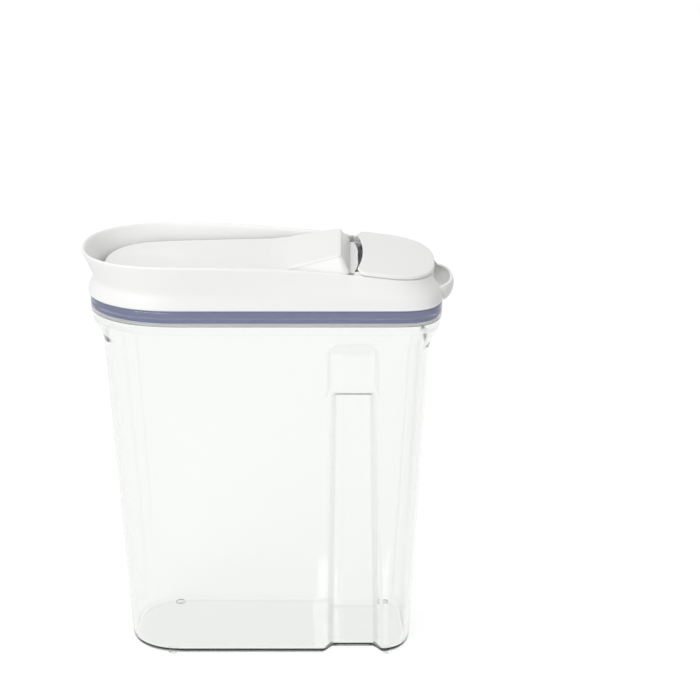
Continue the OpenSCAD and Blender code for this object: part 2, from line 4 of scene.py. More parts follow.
import bmesh
import bpy
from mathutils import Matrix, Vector


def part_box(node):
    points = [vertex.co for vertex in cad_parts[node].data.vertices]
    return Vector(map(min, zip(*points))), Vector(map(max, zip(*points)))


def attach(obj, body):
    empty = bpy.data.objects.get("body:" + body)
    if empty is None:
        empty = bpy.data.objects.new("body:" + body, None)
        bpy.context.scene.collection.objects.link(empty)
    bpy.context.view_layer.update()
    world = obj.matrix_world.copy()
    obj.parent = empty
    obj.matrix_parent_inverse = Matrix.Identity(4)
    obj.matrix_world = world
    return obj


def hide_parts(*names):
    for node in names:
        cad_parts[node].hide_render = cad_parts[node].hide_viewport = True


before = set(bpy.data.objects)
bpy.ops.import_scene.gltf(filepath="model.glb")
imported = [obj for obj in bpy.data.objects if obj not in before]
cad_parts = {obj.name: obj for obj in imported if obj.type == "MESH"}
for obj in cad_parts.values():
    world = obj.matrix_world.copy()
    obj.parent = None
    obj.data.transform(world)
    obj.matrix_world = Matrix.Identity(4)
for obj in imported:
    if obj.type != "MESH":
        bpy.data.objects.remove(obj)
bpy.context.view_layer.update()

bl_info = {
    "name": "Cereal Keeper with Flip Spout",
    "version": (1, 0, 0),
    "blender": (4, 5, 0),
    "location": "View3D > Sidebar > Keeper",
    "description": "Builds the clear container, its lid, press lever, flap and seals on the packed frame",
    "category": "Object",
}

MM = 0.001


def box_mm(node):
    """A node's lowest and highest corner in millimetres."""
    low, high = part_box(node)
    return low / MM, high / MM


# Places taken from the frame, in millimetres
BODY_LOW, BODY_HIGH = box_mm("container")
SHELL_LOW, SHELL_HIGH = box_mm("lid_shell")
LEVER_LOW, LEVER_HIGH = box_mm("press_lever")
FLAP_LOW, FLAP_HIGH = box_mm("flap")
PIN_LOW, PIN_HIGH = box_mm("lever_pin")
HINGE_LOW, HINGE_HIGH = box_mm("flap_pin_rear")

MOUTH_Z = BODY_HIGH.z
BODY_X = (BODY_LOW.x + BODY_HIGH.x) / 2
MOUTH_LEN = BODY_HIGH.x - BODY_LOW.x
MOUTH_W = 2 * BODY_HIGH.y
TAIL_X = SHELL_LOW.x
TIP_X = SHELL_HIGH.x
RIM_Z = SHELL_HIGH.z
RIM_W = 2 * SHELL_HIGH.y
FLAP_TIP_X = FLAP_HIGH.x
SPOUT_W = 2 * FLAP_HIGH.y
HINGE_X = (HINGE_LOW.x + HINGE_HIGH.x) / 2
HINGE_Z = (HINGE_LOW.z + HINGE_HIGH.z) / 2
HINGE_TO_HEEL = 2.5
RIM_TO_HINGE = 4.5
HEEL_X = HINGE_X + HINGE_TO_HEEL
RIM_END_X = HINGE_X - RIM_TO_HINGE
PIVOT_X = (PIN_LOW.x + PIN_HIGH.x) / 2
PIVOT_Z = (PIN_LOW.z + PIN_HIGH.z) / 2

# Points down each rounded end of an outline
END_STEPS = 22
# Angle above which an edge stays sharp
SHARP = math.radians(32)
# Distance in millimetres within which the two sides of a zipped ring are one
WELD = 0.001


def mix(a, b, t):
    return a + (b - a) * t


def clamp(t):
    return min(1.0, max(0.0, t))


def smooth(t):
    u = clamp(t)
    return u * u * (3 - 2 * u)


def glide(table, s):
    """A smooth curve through (place, value) pairs that doesn't overshoot them."""
    xs = [p[0] for p in table]
    ys = [p[1] for p in table]
    rise = [(ys[i + 1] - ys[i]) / (xs[i + 1] - xs[i]) for i in range(len(xs) - 1)]
    slope = [rise[0]]
    for a, b in zip(rise, rise[1:]):
        slope.append(2 * a * b / (a + b) if a * b > 0 else 0.0)
    slope.append(rise[-1])
    s = min(max(s, xs[0]), xs[-1])
    i = max(k for k in range(len(rise)) if xs[k] <= s)
    w = xs[i + 1] - xs[i]
    t = (s - xs[i]) / w
    return ((2 * t**3 - 3 * t**2 + 1) * ys[i] + (t**3 - 2 * t**2 + t) * w * slope[i]
            + (3 * t**2 - 2 * t**3) * ys[i + 1] + (t**3 - t**2) * w * slope[i + 1])


def steps(count):
    """Even steps from 0 to 1."""
    return [i / count for i in range(count + 1)]


def quarter(count):
    """Angles of a quarter turn."""
    return [math.pi / 2 * t for t in steps(count)]


def rounding(radius, count):
    """A quarter round in steps: how far each point stands in from the side, and up from the foot."""
    return [(radius * (1 - math.sin(a)), radius * (1 - math.cos(a))) for a in quarter(count)]


def arc(d, power):
    """A superelliptic end: 1 at its start and 0 at its tip."""
    return max(0.0, 1 - clamp(d) ** power) ** (1 / power)


class Outline:
    """A plan outline in millimetres: two superelliptic ends joined by straight sides."""

    def __init__(self, tail, tip, half, tail_run, tail_power, tip_run, tip_power):
        self.tail, self.tip, self.half = tail, tip, half
        self.tail_run, self.tail_power = tail_run, tail_power
        self.tip_run, self.tip_power = tip_run, tip_power

    def inset(self, d):
        return Outline(self.tail + d, self.tip - d, self.half - d, self.tail_run - d, self.tail_power,
                       self.tip_run - d, self.tip_power)

    def half_at(self, x):
        if x < self.tail + self.tail_run:
            return self.half * arc((self.tail + self.tail_run - x) / self.tail_run, self.tail_power)
        if x > self.tip - self.tip_run:
            return self.half * arc((x - self.tip + self.tip_run) / self.tip_run, self.tip_power)
        return self.half

    def stations(self, mids, count=END_STEPS):
        """Places down the tail end, along the sides and round the tip."""
        turn = math.pi / 2
        reach = (mids[-1] - self.tip + self.tip_run) / self.tip_run
        start = turn if reach <= 0 else math.acos(reach ** (self.tip_power / 2))
        tail = [self.tail + self.tail_run * (1 - math.cos(turn * t) ** (2 / self.tail_power))
                for t in steps(count)]
        tip = [self.tip - self.tip_run * (1 - math.cos(start * t) ** (2 / self.tip_power))
               for t in steps(count)[-2::-1]]
        return tail + list(mids) + tip

    def half_ring(self, mids, z, count=END_STEPS):
        return [(x, self.half_at(x), z) for x in self.stations(mids, count)]


def whole(half):
    """A half ring and its mirror image across the middle plane, as one closed ring."""
    return [(x, -y, z) for x, y, z in half] + [(x, y, z) for x, y, z in half[-2:0:-1]]


# Modelling helpers

def deselect():
    if bpy.context.object and bpy.context.object.mode != "OBJECT":
        bpy.ops.object.mode_set(mode="OBJECT")
    bpy.ops.object.select_all(action="DESELECT")


def pick(piece):
    deselect()
    piece.select_set(True)
    bpy.context.view_layer.objects.active = piece


def place_ring(mesh, members, ring):
    for index, point in zip(members, ring):
        mesh.verts[index].co = Vector(point) * MM


def loft(name, rings, ends="capped"):
    """Extrudes one ring through all the others. The ends are capped, bridged to each other or zipped up."""
    deselect()
    count = len(rings[0])
    fill = "NGON" if ends == "capped" else "NOTHING"
    bpy.ops.mesh.primitive_circle_add(vertices=count, radius=1, fill_type=fill)
    piece = bpy.context.object
    piece.name = name
    bpy.ops.object.mode_set(mode="EDIT")
    bpy.ops.mesh.select_mode(type="VERT")
    mesh = bmesh.from_edit_mesh(piece.data)
    mesh.verts.ensure_lookup_table()
    members = list(range(count))
    first = members
    place_ring(mesh, members, rings[0])
    for ring in rings[1:]:
        if ends == "capped":
            bpy.ops.mesh.extrude_region_move()
        else:
            bpy.ops.mesh.extrude_edges_move()
        mesh = bmesh.from_edit_mesh(piece.data)
        mesh.verts.ensure_lookup_table()
        mesh.verts.index_update()
        raised = []
        for index in members:
            vert = mesh.verts[index]
            linked = [edge.other_vert(vert) for edge in vert.link_edges]
            raised.append(next(other.index for other in linked if other.select))
        members = raised
        place_ring(mesh, members, ring)
    if ends == "bridged":
        for index in first + members:
            mesh.verts[index].select = True
        mesh.select_flush(True)
        bpy.ops.mesh.bridge_edge_loops()
    bpy.ops.mesh.select_all(action="SELECT")
    if ends == "zipped":
        bpy.ops.mesh.remove_doubles(threshold=WELD * MM)
    bpy.ops.mesh.normals_make_consistent(inside=False)
    bpy.ops.object.mode_set(mode="OBJECT")
    return piece


def plate(name, outline, y0, y1):
    """An outline in the X-Z plane, extruded across the object between two distances in millimetres."""
    return loft(name, [[(x, y, z) for x, z in outline] for y in (y0, y1)])


def block(name, low, high):
    """A block between two corners in millimetres."""
    deselect()
    low, high = Vector(low) * MM, Vector(high) * MM
    bpy.ops.mesh.primitive_cube_add(size=1, location=(low + high) / 2, scale=high - low)
    piece = bpy.context.object
    piece.name = name
    bpy.ops.object.transform_apply(location=True, rotation=True, scale=True)
    return piece


def round_edges(piece, width, segments=3, angle=40):
    """Rounds the edges sharper than an angle."""
    pick(piece)
    bevel = piece.modifiers.new("Round", "BEVEL")
    bevel.width = width * MM
    bevel.segments = segments
    bevel.limit_method = "ANGLE"
    bevel.angle_limit = math.radians(angle)
    bpy.ops.object.modifier_apply(modifier="Round")
    return piece


def combine(piece, tool, operation):
    """Joins a tool to a piece or cuts it away, and removes the tool."""
    pick(piece)
    change = piece.modifiers.new("Combine", "BOOLEAN")
    change.operation = operation
    change.solver = "EXACT"
    change.object = tool
    bpy.ops.object.modifier_apply(modifier="Combine")
    bpy.data.objects.remove(tool)


def wrap(circles, count=24):
    """The outline round some circles, each given by its middle and radius in the X-Z plane."""
    points = sorted((x + r * math.cos(2 * math.pi * t), z + r * math.sin(2 * math.pi * t))
                    for x, z, r in circles for t in steps(count)[:-1])

    def chain(run):
        out = []
        for p in run:
            while len(out) > 1 and ((out[-1][0] - out[-2][0]) * (p[1] - out[-2][1])
                                    <= (out[-1][1] - out[-2][1]) * (p[0] - out[-2][0])):
                out.pop()
            out.append(p)
        return out[:-1]

    return chain(points) + chain(points[::-1])


def dress(piece, body, material, nodes, angle=SHARP):
    """Smooths a finished piece, gives it its material and sets it on its body in place of its nodes."""
    pick(piece)
    bpy.ops.object.shade_smooth_by_angle(angle=angle)
    piece.data.materials.clear()
    piece.data.materials.append(material)
    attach(piece, body)
    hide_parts(*nodes)


# Materials

def srgb(code):
    """A hex colour as linear red, green, blue and alpha."""
    parts = [int(code[i:i + 2], 16) / 255 for i in (1, 3, 5)]
    return tuple(c / 12.92 if c <= 0.04045 else ((c + 0.055) / 1.055) ** 2.4 for c in parts) + (1.0,)


def add_node(tree, kind, settings=(), inputs=(), links=()):
    """Adds one node with its settings, input values and incoming links."""
    node = tree.nodes.new(kind)
    for name, value in dict(settings).items():
        setattr(node, name, value)
    for name, value in dict(inputs).items():
        node.inputs[name].default_value = value
    for name, source in dict(links).items():
        tree.links.new(source, node.inputs[name])
    return node


def new_material(name):
    material = bpy.data.materials.new(name)
    material.use_nodes = True
    tree = material.node_tree
    tree.nodes.clear()
    place = add_node(tree, "ShaderNodeTexCoord").outputs["Object"]
    return material, tree, place


def end_material(tree, surface, volume=None):
    links = {"Surface": surface}
    if volume:
        links["Volume"] = volume
    add_node(tree, "ShaderNodeOutputMaterial", links=links)


def moulded_abs(finish):
    """ABS, injection moulded in a fine-sparked tool: an even white with a soft, slightly grained gloss."""
    material, tree, place = new_material("moulded_abs")
    # Sparked texture, drawn at 0.5 mm where the real one is about 0.1 mm
    grain = add_node(tree, "ShaderNodeTexNoise", inputs={"Scale": 1 / (0.5 * MM), "Detail": 2.0},
                     links={"Vector": place})
    # Slow flow marks of the melt, about 40 mm across, which change the gloss a little
    flow = add_node(tree, "ShaderNodeTexNoise", inputs={"Scale": 1 / (40 * MM), "Detail": 1.0},
                    links={"Vector": place})
    gloss = add_node(tree, "ShaderNodeMapRange", inputs={"To Min": 0.3, "To Max": 0.4},
                     links={"Value": flow.outputs["Fac"]})
    bump = add_node(tree, "ShaderNodeBump", inputs={"Strength": 0.05, "Distance": 0.05 * MM},
                    links={"Height": grain.outputs["Fac"]})
    shader = add_node(tree, "ShaderNodeBsdfPrincipled",
                      inputs={"Base Color": finish.white, "IOR": 1.53},
                      links={"Roughness": gloss.outputs["Result"], "Normal": bump.outputs["Normal"]})
    end_material(tree, shader.outputs["BSDF"])
    return material


def clear_san(finish):
    """SAN copolymer, injection moulded in a polished tool: clear and glossy, faintly green at its edges."""
    material, tree, place = new_material("clear_san")
    # Gentle sink waves of the thin wall, about 60 mm long, which bend what is seen through it
    waves = add_node(tree, "ShaderNodeTexNoise", inputs={"Scale": 1 / (60 * MM), "Detail": 0.0},
                     links={"Vector": place})
    bump = add_node(tree, "ShaderNodeBump", inputs={"Strength": 0.2, "Distance": 0.4 * MM},
                    links={"Height": waves.outputs["Fac"]})
    shader = add_node(tree, "ShaderNodeBsdfPrincipled",
                      inputs={"Base Color": finish.clear, "IOR": 1.57, "Roughness": 0.015,
                              "Transmission Weight": 1.0},
                      links={"Normal": bump.outputs["Normal"]})
    # The resin's own tint: about 2 percent through one wall, and more along an edge. The density is per metre
    tint = add_node(tree, "ShaderNodeVolumeAbsorption", inputs={"Color": finish.tint, "Density": 28.0})
    end_material(tree, shader.outputs["BSDF"], tint.outputs["Volume"])
    return material


def seal_elastomer(finish):
    """Thermoplastic elastomer, moulded: a blue-grey soft rubber with a dull, slightly dusty surface."""
    return moulded_rubber("seal_elastomer", finish.seal)


def seal_lip_rubber_painted_shade(finish):
    """Thermoplastic elastomer, moulded: the softer rubber of the seal under the flap, in a dark grey that is
    painted shade for the shadowed crescent behind the flap's rear edge.
    """
    return moulded_rubber("seal_lip_rubber_painted_shade", finish.lip)


def moulded_rubber(name, shade):
    """A soft moulded rubber with a dull bloom, in a shade."""
    material, tree, place = new_material(name)
    # Talc bloom in patches of about 6 mm
    bloom = add_node(tree, "ShaderNodeTexNoise", inputs={"Scale": 1 / (6 * MM), "Detail": 3.0},
                     links={"Vector": place})
    tone = add_node(tree, "ShaderNodeMix", settings={"data_type": "RGBA"},
                    links={"Factor": bloom.outputs["Fac"]})
    tone.inputs["A"].default_value = shade
    tone.inputs["B"].default_value = [c * 1.08 for c in shade[:3]] + [1.0]
    dull = add_node(tree, "ShaderNodeMapRange", inputs={"To Min": 0.45, "To Max": 0.6},
                    links={"Value": bloom.outputs["Fac"]})
    shader = add_node(tree, "ShaderNodeBsdfPrincipled", inputs={"IOR": 1.5},
                      links={"Base Color": tone.outputs["Result"], "Roughness": dull.outputs["Result"]})
    end_material(tree, shader.outputs["BSDF"])
    return material


def drawn_steel(finish):
    """Stainless steel wire, drawn: a bright grey metal with fine lines along the wire."""
    material, tree, place = new_material("drawn_steel")
    # Die lines about 0.3 mm apart
    lines = add_node(tree, "ShaderNodeTexNoise", inputs={"Scale": 1 / (0.3 * MM), "Detail": 1.0},
                     links={"Vector": place})
    rough = add_node(tree, "ShaderNodeMapRange", inputs={"To Min": 0.25, "To Max": 0.4},
                     links={"Value": lines.outputs["Fac"]})
    shader = add_node(tree, "ShaderNodeBsdfPrincipled",
                      inputs={"Base Color": finish.steel, "Metallic": 1.0},
                      links={"Roughness": rough.outputs["Result"]})
    end_material(tree, shader.outputs["BSDF"])
    return material


def material_for(maker):
    """The material of that maker, made on first use."""
    found = bpy.data.materials.get(maker.__name__)
    return found or maker(bpy.context.scene.keeper_finish)


# Sizes and colours that a user would change

def length(name, description, value):
    return bpy.props.FloatProperty(name=name, description=description, default=value * MM, unit="LENGTH")


def colour(name, description, code):
    return bpy.props.FloatVectorProperty(name=name, description=description, default=srgb(code), size=4,
                                         subtype="COLOR", min=0, max=1)


class KeeperBodySizes(bpy.types.PropertyGroup):
    base_len: length("Base Length", "Length over the walls at their foot", 190)
    base_w: length("Base Width", "Width over the walls at their foot", 77)
    shoulder_len: length("Shoulder Length", "Length over the walls at the shoulder", 213)
    shoulder_w: length("Shoulder Width", "Width over the walls at the shoulder", 87)
    neck_h: length("Neck Height", "Height of the mouth over the shoulder", 28.5)
    band_h: length("Band Height", "Height of the clear band round the mouth", 10.3)
    wall: length("Wall", "Thickness of the clear walls", 2.2)
    base_r: length("Base Radius", "Radius round the underside", 3.4)
    foot_d: length("Foot Diameter", "Diameter of the feet", 6.8)
    foot_h: length("Foot Height", "Height of the feet", 1.2)
    foot_tail: length("Tail Feet", "Distance of the feet at the tail from the middle", 66.8)
    foot_tip: length("Spout Feet", "Distance of the feet at the spout from the middle", 78)
    grip_x: length("Grip Place", "Distance of the grip recess from the middle", 54.8)
    grip_base_w: length("Grip Base Width", "Width of the recess at the base", 42)
    grip_top_w: length("Grip Top Width", "Width of the recess at its arch", 36)
    grip_top: length("Grip Height", "Height of the recess's arch", 196)
    grip_depth: length("Grip Depth", "Depth of the recess", 8)


class KeeperLidSizes(bpy.types.PropertyGroup):
    height: length("Height", "Height from the lower edge to the rim at the tail", 29.3)
    rim_t: length("Rim Thickness", "Thickness of the rim's top edge", 2.2)
    well_h: length("Well Height", "Height of the well's floor over the lower edge", 6.3)
    chute_w: length("Chute Width", "Inner width of the pouring chute", 56.4)
    scoop_w: length("Scoop Width", "Width of the pouring scoop", 50)


class KeeperLeverSizes(bpy.types.PropertyGroup):
    reach: length("Length", "Length from the tail to the foot of the nose", 158.8)
    width: length("Width", "Width of the pad", 73.6)
    nose_w: length("Nose Width", "Width of the nose's top edge", 55)
    nose_foot_w: length("Nose Foot Width", "Width of the nose at its foot", 75)
    nose_rise: length("Nose Rise", "Height of the nose's top edge over the rim", 2.2)
    thickness: length("Thickness", "Thickness of the lever's top", 2.2)
    dish: length("Dish", "Depth of the finger dish", 1.6)
    edge_r: length("Edge Radius", "Radius of the top edge", 1.6)


class KeeperFlapSizes(bpy.types.PropertyGroup):
    thickness: length("Thickness", "Thickness of the flap's plate", 2.2)
    crown: length("Crown", "Rise of the plate's middle above its edges", 0.8)
    opening: bpy.props.FloatProperty(name="Opening", description="Angle through which the flap opens",
                                     default=math.radians(75), subtype="ANGLE")


class KeeperFinish(bpy.types.PropertyGroup):
    white: colour("White", "White moulded plastic", "#EDEDEC")
    clear: colour("Clear", "Clear plastic", "#FBFCFB")
    tint: colour("Tint", "What the clear plastic lets through where it is thick", "#CAD1CA")
    seal: colour("Gasket", "Rubber of the gasket", "#868DB2")
    # Flap Seal: the seal is real rubber, but this dark grey is painted shade for the shadowed crescent behind
    # the flap's rear edge
    lip: colour("Flap Seal", "Rubber of the flap's seal", "#5C5C60")
    steel: colour("Steel", "Pins and spring", "#C9C9CC")


# The container

# Rounded ends of the body, each at the base and at the shoulder. The higher the power, the blunter the end
TIP_POWER = 3.7
BODY_TAIL_RUNS = (38, 60)
BODY_TAIL_POWERS = (2.4, 2.2)
BODY_TIP_RUNS = (26, 38)
BODY_TIP_POWERS = (3, TIP_POWER)
# Thickness of the clear band at the mouth, and how far the soft gasket and the plug press into it
LIP = 1.7
PRESS = 0.04
# Distance of the feet from the edge of the base
FOOT_IN = 5
# Places along the straight sides
WALL_MIDS = [-40, -20, 0, 15]
PLUG_MIDS = [-20, 0, 20, 40]


class Body:
    """The clear moulding's form in millimetres."""

    def __init__(self, sizes):
        self.base_z = sizes.foot_h / MM
        self.shoulder_z = MOUTH_Z - sizes.neck_h / MM
        self.ledge_z = MOUTH_Z - sizes.band_h / MM
        self.base = (sizes.base_len / MM, sizes.base_w / MM)
        self.shoulder = (sizes.shoulder_len / MM, sizes.shoulder_w / MM)
        self.wall = sizes.wall / MM
        self.base_r = sizes.base_r / MM
        self.grip_x = sizes.grip_x / MM
        self.grip_widths = (sizes.grip_base_w / MM, sizes.grip_top_w / MM)
        self.grip_top = sizes.grip_top / MM
        self.grip_depth = sizes.grip_depth / MM
        self.grip_slope = 8

    def plan(self, z):
        """Length and width at a height, before the shoulder is softened."""
        t = (z - self.base_z) / (self.shoulder_z - self.base_z)
        if t < 1:
            return mix(self.base[0], self.shoulder[0], t), mix(self.base[1], self.shoulder[1], t)
        n = clamp((z - self.shoulder_z) / (self.ledge_z - self.shoulder_z))
        return (mix(self.shoulder[0], MOUTH_LEN, 1 - (1 - n) ** 2), mix(self.shoulder[1], MOUTH_W, n**3))

    def outline(self, z):
        """The outer wall's outline at a height, with the shoulder softened over 3 mm each way."""
        near = [self.plan(z + d) for d in (-3, -1.5, 0, 1.5, 3)]
        length_z = sum(p[0] for p in near) / len(near)
        width_z = sum(p[1] for p in near) / len(near)
        t = clamp((z - self.base_z) / (self.shoulder_z - self.base_z))
        return Outline(BODY_X - length_z / 2, BODY_X + length_z / 2, width_z / 2,
                       mix(*BODY_TAIL_RUNS, t), mix(*BODY_TAIL_POWERS, t),
                       mix(*BODY_TIP_RUNS, t), mix(*BODY_TIP_POWERS, t))

    def grip_half(self, z):
        """Half width of the grip recess at a height."""
        t = clamp((z - self.base_z) / (self.grip_top - self.base_z))
        return mix(self.grip_widths[0], self.grip_widths[1], t) / 2

    def grip_cut(self, x, z):
        """Depth of the grip recess at a point of the wall."""
        side = 1 - clamp((self.grip_half(z) - abs(x - self.grip_x)) / self.grip_slope)
        arch = 1 - clamp((self.grip_top - z) / self.grip_slope)
        return self.grip_depth * smooth(1 - math.hypot(side, arch))

    def ring(self, z, d):
        """A ring of the wall at a height, moved in by d, with the recess pressed in."""
        outline = self.outline(z).inset(d)
        slope = steps(10)
        left = self.grip_x - self.grip_half(z)
        right = self.grip_x + self.grip_half(z)
        mids = WALL_MIDS + [left + s * self.grip_slope for s in slope]
        mids += [right - s * self.grip_slope for s in slope[::-1]]
        return whole([(x, max(0.0, outline.half_at(x) - self.grip_cut(x, z)), z)
                      for x in outline.stations(mids)])


class KEEPER_OT_container(bpy.types.Operator):
    """Moulds the clear container with its grip recesses and feet"""
    bl_idname = "keeper.container"
    bl_label = "Container"

    def execute(self, context):
        sizes = context.scene.keeper_body
        body = Body(sizes)
        wall = body.wall
        flat = 2
        band_r, lip_r = 0.8, 0.7
        arch = [body.grip_top - body.grip_slope * (1 - s) for s in steps(8)]
        straight = [mix(body.base_z + body.base_r, arch[0], s) for s in steps(5)[1:-1]]
        neck = [mix(body.shoulder_z - 4, body.ledge_z + 1, s) for s in steps(18)]
        outside = [(body.base_z + up, into) for into, up in rounding(body.base_r, 7)]
        outside.insert(0, (body.base_z, body.base_r + flat))
        outside += [(z, 0) for z in straight + arch + neck]
        outside += [(MOUTH_Z - down, into) for down, into in rounding(band_r, 4)]
        inside = [(MOUTH_Z - down, LIP - out) for out, down in rounding(lip_r, 3)]
        # The gasket's seat: a small ledge below the band, which fades into the wall
        inside += [(body.ledge_z + 0.4, LIP), (body.ledge_z, LIP + 0.4), (body.ledge_z, wall + 0.8),
                   (body.ledge_z - 3, wall + 0.8), (body.ledge_z - 6, wall)]
        inside += [(z, wall) for z in neck[13::-1] + arch[::-1] + straight[::-1]]
        floor_t = 2.6
        floor_z = body.base_z + floor_t
        inner_r = body.base_r - 1
        inside += [(floor_z + up, wall + into) for into, up in rounding(inner_r, 6)[::-1]]
        inside.append((floor_z, wall + inner_r + flat))
        piece = loft("container_clear", [body.ring(z, d) for z, d in outside + inside])
        for x in (-sizes.foot_tail / MM, sizes.foot_tip / MM):
            for y in (-1, 1):
                foot = self.foot(x, y * (body.base[1] / 2 - FOOT_IN), sizes)
                combine(piece, foot, "UNION")
        dress(piece, "container_body", material_for(clear_san), ["container"])
        return {"FINISHED"}

    def foot(self, x, y, sizes):
        """A short round foot with a softened edge."""
        radius = sizes.foot_d / 2 / MM
        height = sizes.foot_h / MM + 1
        edge_r = 0.5
        profile = [(radius - into, up) for into, up in rounding(edge_r, 3)]
        profile.append((radius, height))
        return loft("foot", [[(x + r * math.cos(2 * math.pi * t), y + r * math.sin(2 * math.pi * t), z)
                              for t in steps(32)[:-1]] for r, z in profile])


# The lid

# How far the ends stand back from the rim's tail and the spout's tip, by the share of the side's height
TAIL_PROFILE = [(0, 3.1), (0.14, 3.9), (0.26, 5.7), (0.38, 7.1), (0.55, 5.2), (0.72, 3.1), (0.86, 1.3),
                (1, 0)]
FRONT_PROFILE = [(0, 6.9), (0.34, 7.4), (0.6, 9.2), (0.85, 11.6), (1, 12.6)]
# How far the well's wall stands back from the tail, by its height over the well's floor
WELL_PROFILE = [(0, 11.6), (5.2, 10.8), (10.2, 9), (16.2, 6), (23, 2.2)]
# The crease round the side, as a share of its height, and the depth of the cove along it
CREASE = 0.34
COVE = 1.1
# The rounded end of the flap and of the shell's top edge
FRONT_RUN = 36
FRONT_POWER = 2.65
# The rim falls by this much from FALL_X to the flap's tip, and draws in from DRAW_X to the heel
RIM_DROP = 13.2
FALL_X = TAIL_X + 50
DRAW_X = TAIL_X + 60
# Places along the chute's straight sides
CHUTE_MIDS = [HEEL_X + 8, HEEL_X + 11, HEEL_X + 14]
# How far the crescent behind the flap bends back at the chute's sides
CRESCENT = 2.4
# The flap's arms: their thickness, their room in the bays, and the reach of their crank pins
ARM_T = 3.4
ARM_ROOM = 0.4
CRANK = 5
BAY_FRONT_X = HINGE_X + 10.1
# The lug's slot: the crank pin's radius with its play, and how far it reaches to the rear and to the front
SLOT_R = 1.6
SLOT_REACH = (0.5, 1.3)


def rim_at(x):
    """Height of the lid's top edge: level round the tail, then falling to the spout."""
    return RIM_Z - RIM_DROP * (max(0, x - FALL_X) / (FLAP_TIP_X - FALL_X)) ** 2


def top_half(x):
    """Half width of that edge: full round the tail, then drawn in to the flap."""
    return mix(RIM_W, SPOUT_W, smooth((x - DRAW_X) / (HEEL_X - DRAW_X))) / 2


def chute_outline(lid, short=8.4):
    """The chute's outline, which ends short of the flap's tip."""
    return Outline(HINGE_X + 0.3, FLAP_TIP_X - short, lid.chute_half, tail_run=6, tail_power=2.6,
                   tip_run=30, tip_power=2.4)


def crank(opening):
    """Where the flap's crank pins rest: half the opening below the hinge's level."""
    return HINGE_X + CRANK * math.cos(opening / 2), HINGE_Z - CRANK * math.sin(opening / 2)


class Lid:
    """The lid shell's form in millimetres."""

    def __init__(self, sizes):
        self.low_z = RIM_Z - sizes.height / MM
        self.rim_t = sizes.rim_t / MM
        self.well_z = self.low_z + sizes.well_h / MM
        self.chute_half = sizes.chute_w / 2 / MM
        self.scoop_half = sizes.scoop_w / 2 / MM
        self.scoop_z = self.low_z + 7
        self.low_half = MOUTH_W / 2 + 0.9
        self.bay_in = self.chute_half + 2.4
        self.bay_out = SPOUT_W / 2 - 2.6
        self.arm_out = self.bay_out - ARM_ROOM
        self.arm_in = self.arm_out - ARM_T
        self.mids = [mix(TAIL_X + 72, RIM_END_X - 9, t) for t in steps(10)]
        self.mids += [RIM_END_X + d for d in (-5, -2, 1, 4, 7)]

    def edge_at(self, x):
        """Height of the shell's own edge, which steps down a little under the flap."""
        return rim_at(x) - 0.9 * smooth((x - RIM_END_X + 6) / 6) + 0.6 * smooth((x - RIM_END_X) / 7)

    def outline(self, s):
        """The outer side's outline at a share of its height."""
        tail = TAIL_X + glide(TAIL_PROFILE, s)
        tip = TIP_X - glide(FRONT_PROFILE, s)
        tip_run, tip_power = mix(38, FRONT_RUN, s), mix(TIP_POWER, FRONT_POWER, s)
        return Outline(tail, tip, self.low_half, mix(60, 62, s), mix(2.2, 2.3, s), tip_run, tip_power)

    def spread(self, x, s):
        """Half width at a share s of the height: leaning in down to the crease, and out below it."""
        lean = clamp((s - CREASE) / (1 - CREASE))
        cove = COVE * min(s / CREASE, 1 - lean)
        return mix(self.low_half, top_half(x), lean) - cove

    def outside(self, s, inset=0.0, lift=0.0):
        """Half ring of the outer side at a share s of its height, moved in and up."""
        outline = self.outline(s)
        half = []
        for x in outline.stations(self.mids):
            near = [self.spread(x, clamp(s + d)) for d in (-0.04, -0.02, 0, 0.02, 0.04)]
            wide = near[2] if s in (0, 1) else sum(near) / len(near)
            tail = clamp((outline.tail + outline.tail_run - x) / outline.tail_run)
            tip = clamp((x - outline.tip + outline.tip_run) / outline.tip_run)
            y = max(0.0, outline.half_at(x) / outline.half * wide - inset)
            half.append((x + inset * (tail**2 - tip**2), y, mix(self.low_z, self.edge_at(x), s) + lift))
        return half

    def inside(self, s):
        """Half ring of the inner side: the well, then the pocket under the flap."""
        def height(x):
            return mix(self.low_z, self.edge_at(x), s)

        well, tail = self.well_tail(glide(WELL_PROFILE, height(TAIL_X) - self.well_z))
        pocket = Outline(TAIL_X + 20, FLAP_TIP_X - 2.6, SPOUT_W / 2 - 3, tail_run=10, tail_power=2,
                         tip_run=FRONT_RUN - 2, tip_power=FRONT_POWER)
        tip = pocket.stations([self.mids[-1]])[END_STEPS + 2:]
        half = [(x, well.half_at(x) * self.well_half(x, height(x)), height(x)) for x in tail + self.mids]
        return half + [(x, pocket.half_at(x), height(x)) for x in tip]

    def well_tail(self, gap):
        """The well's outline, of half width one and open towards the spout, and the places down its tail."""
        well = Outline(TAIL_X + gap, 2 * TIP_X, 1, tail_run=60 - gap, tail_power=2.3, tip_run=1, tip_power=2)
        return well, well.stations([0])[:END_STEPS + 1]

    def well_half(self, x, z):
        """Half width of the well, whose walls lean out a little."""
        return top_half(x) - self.rim_t - 0.14 * (23 - (z - self.well_z))


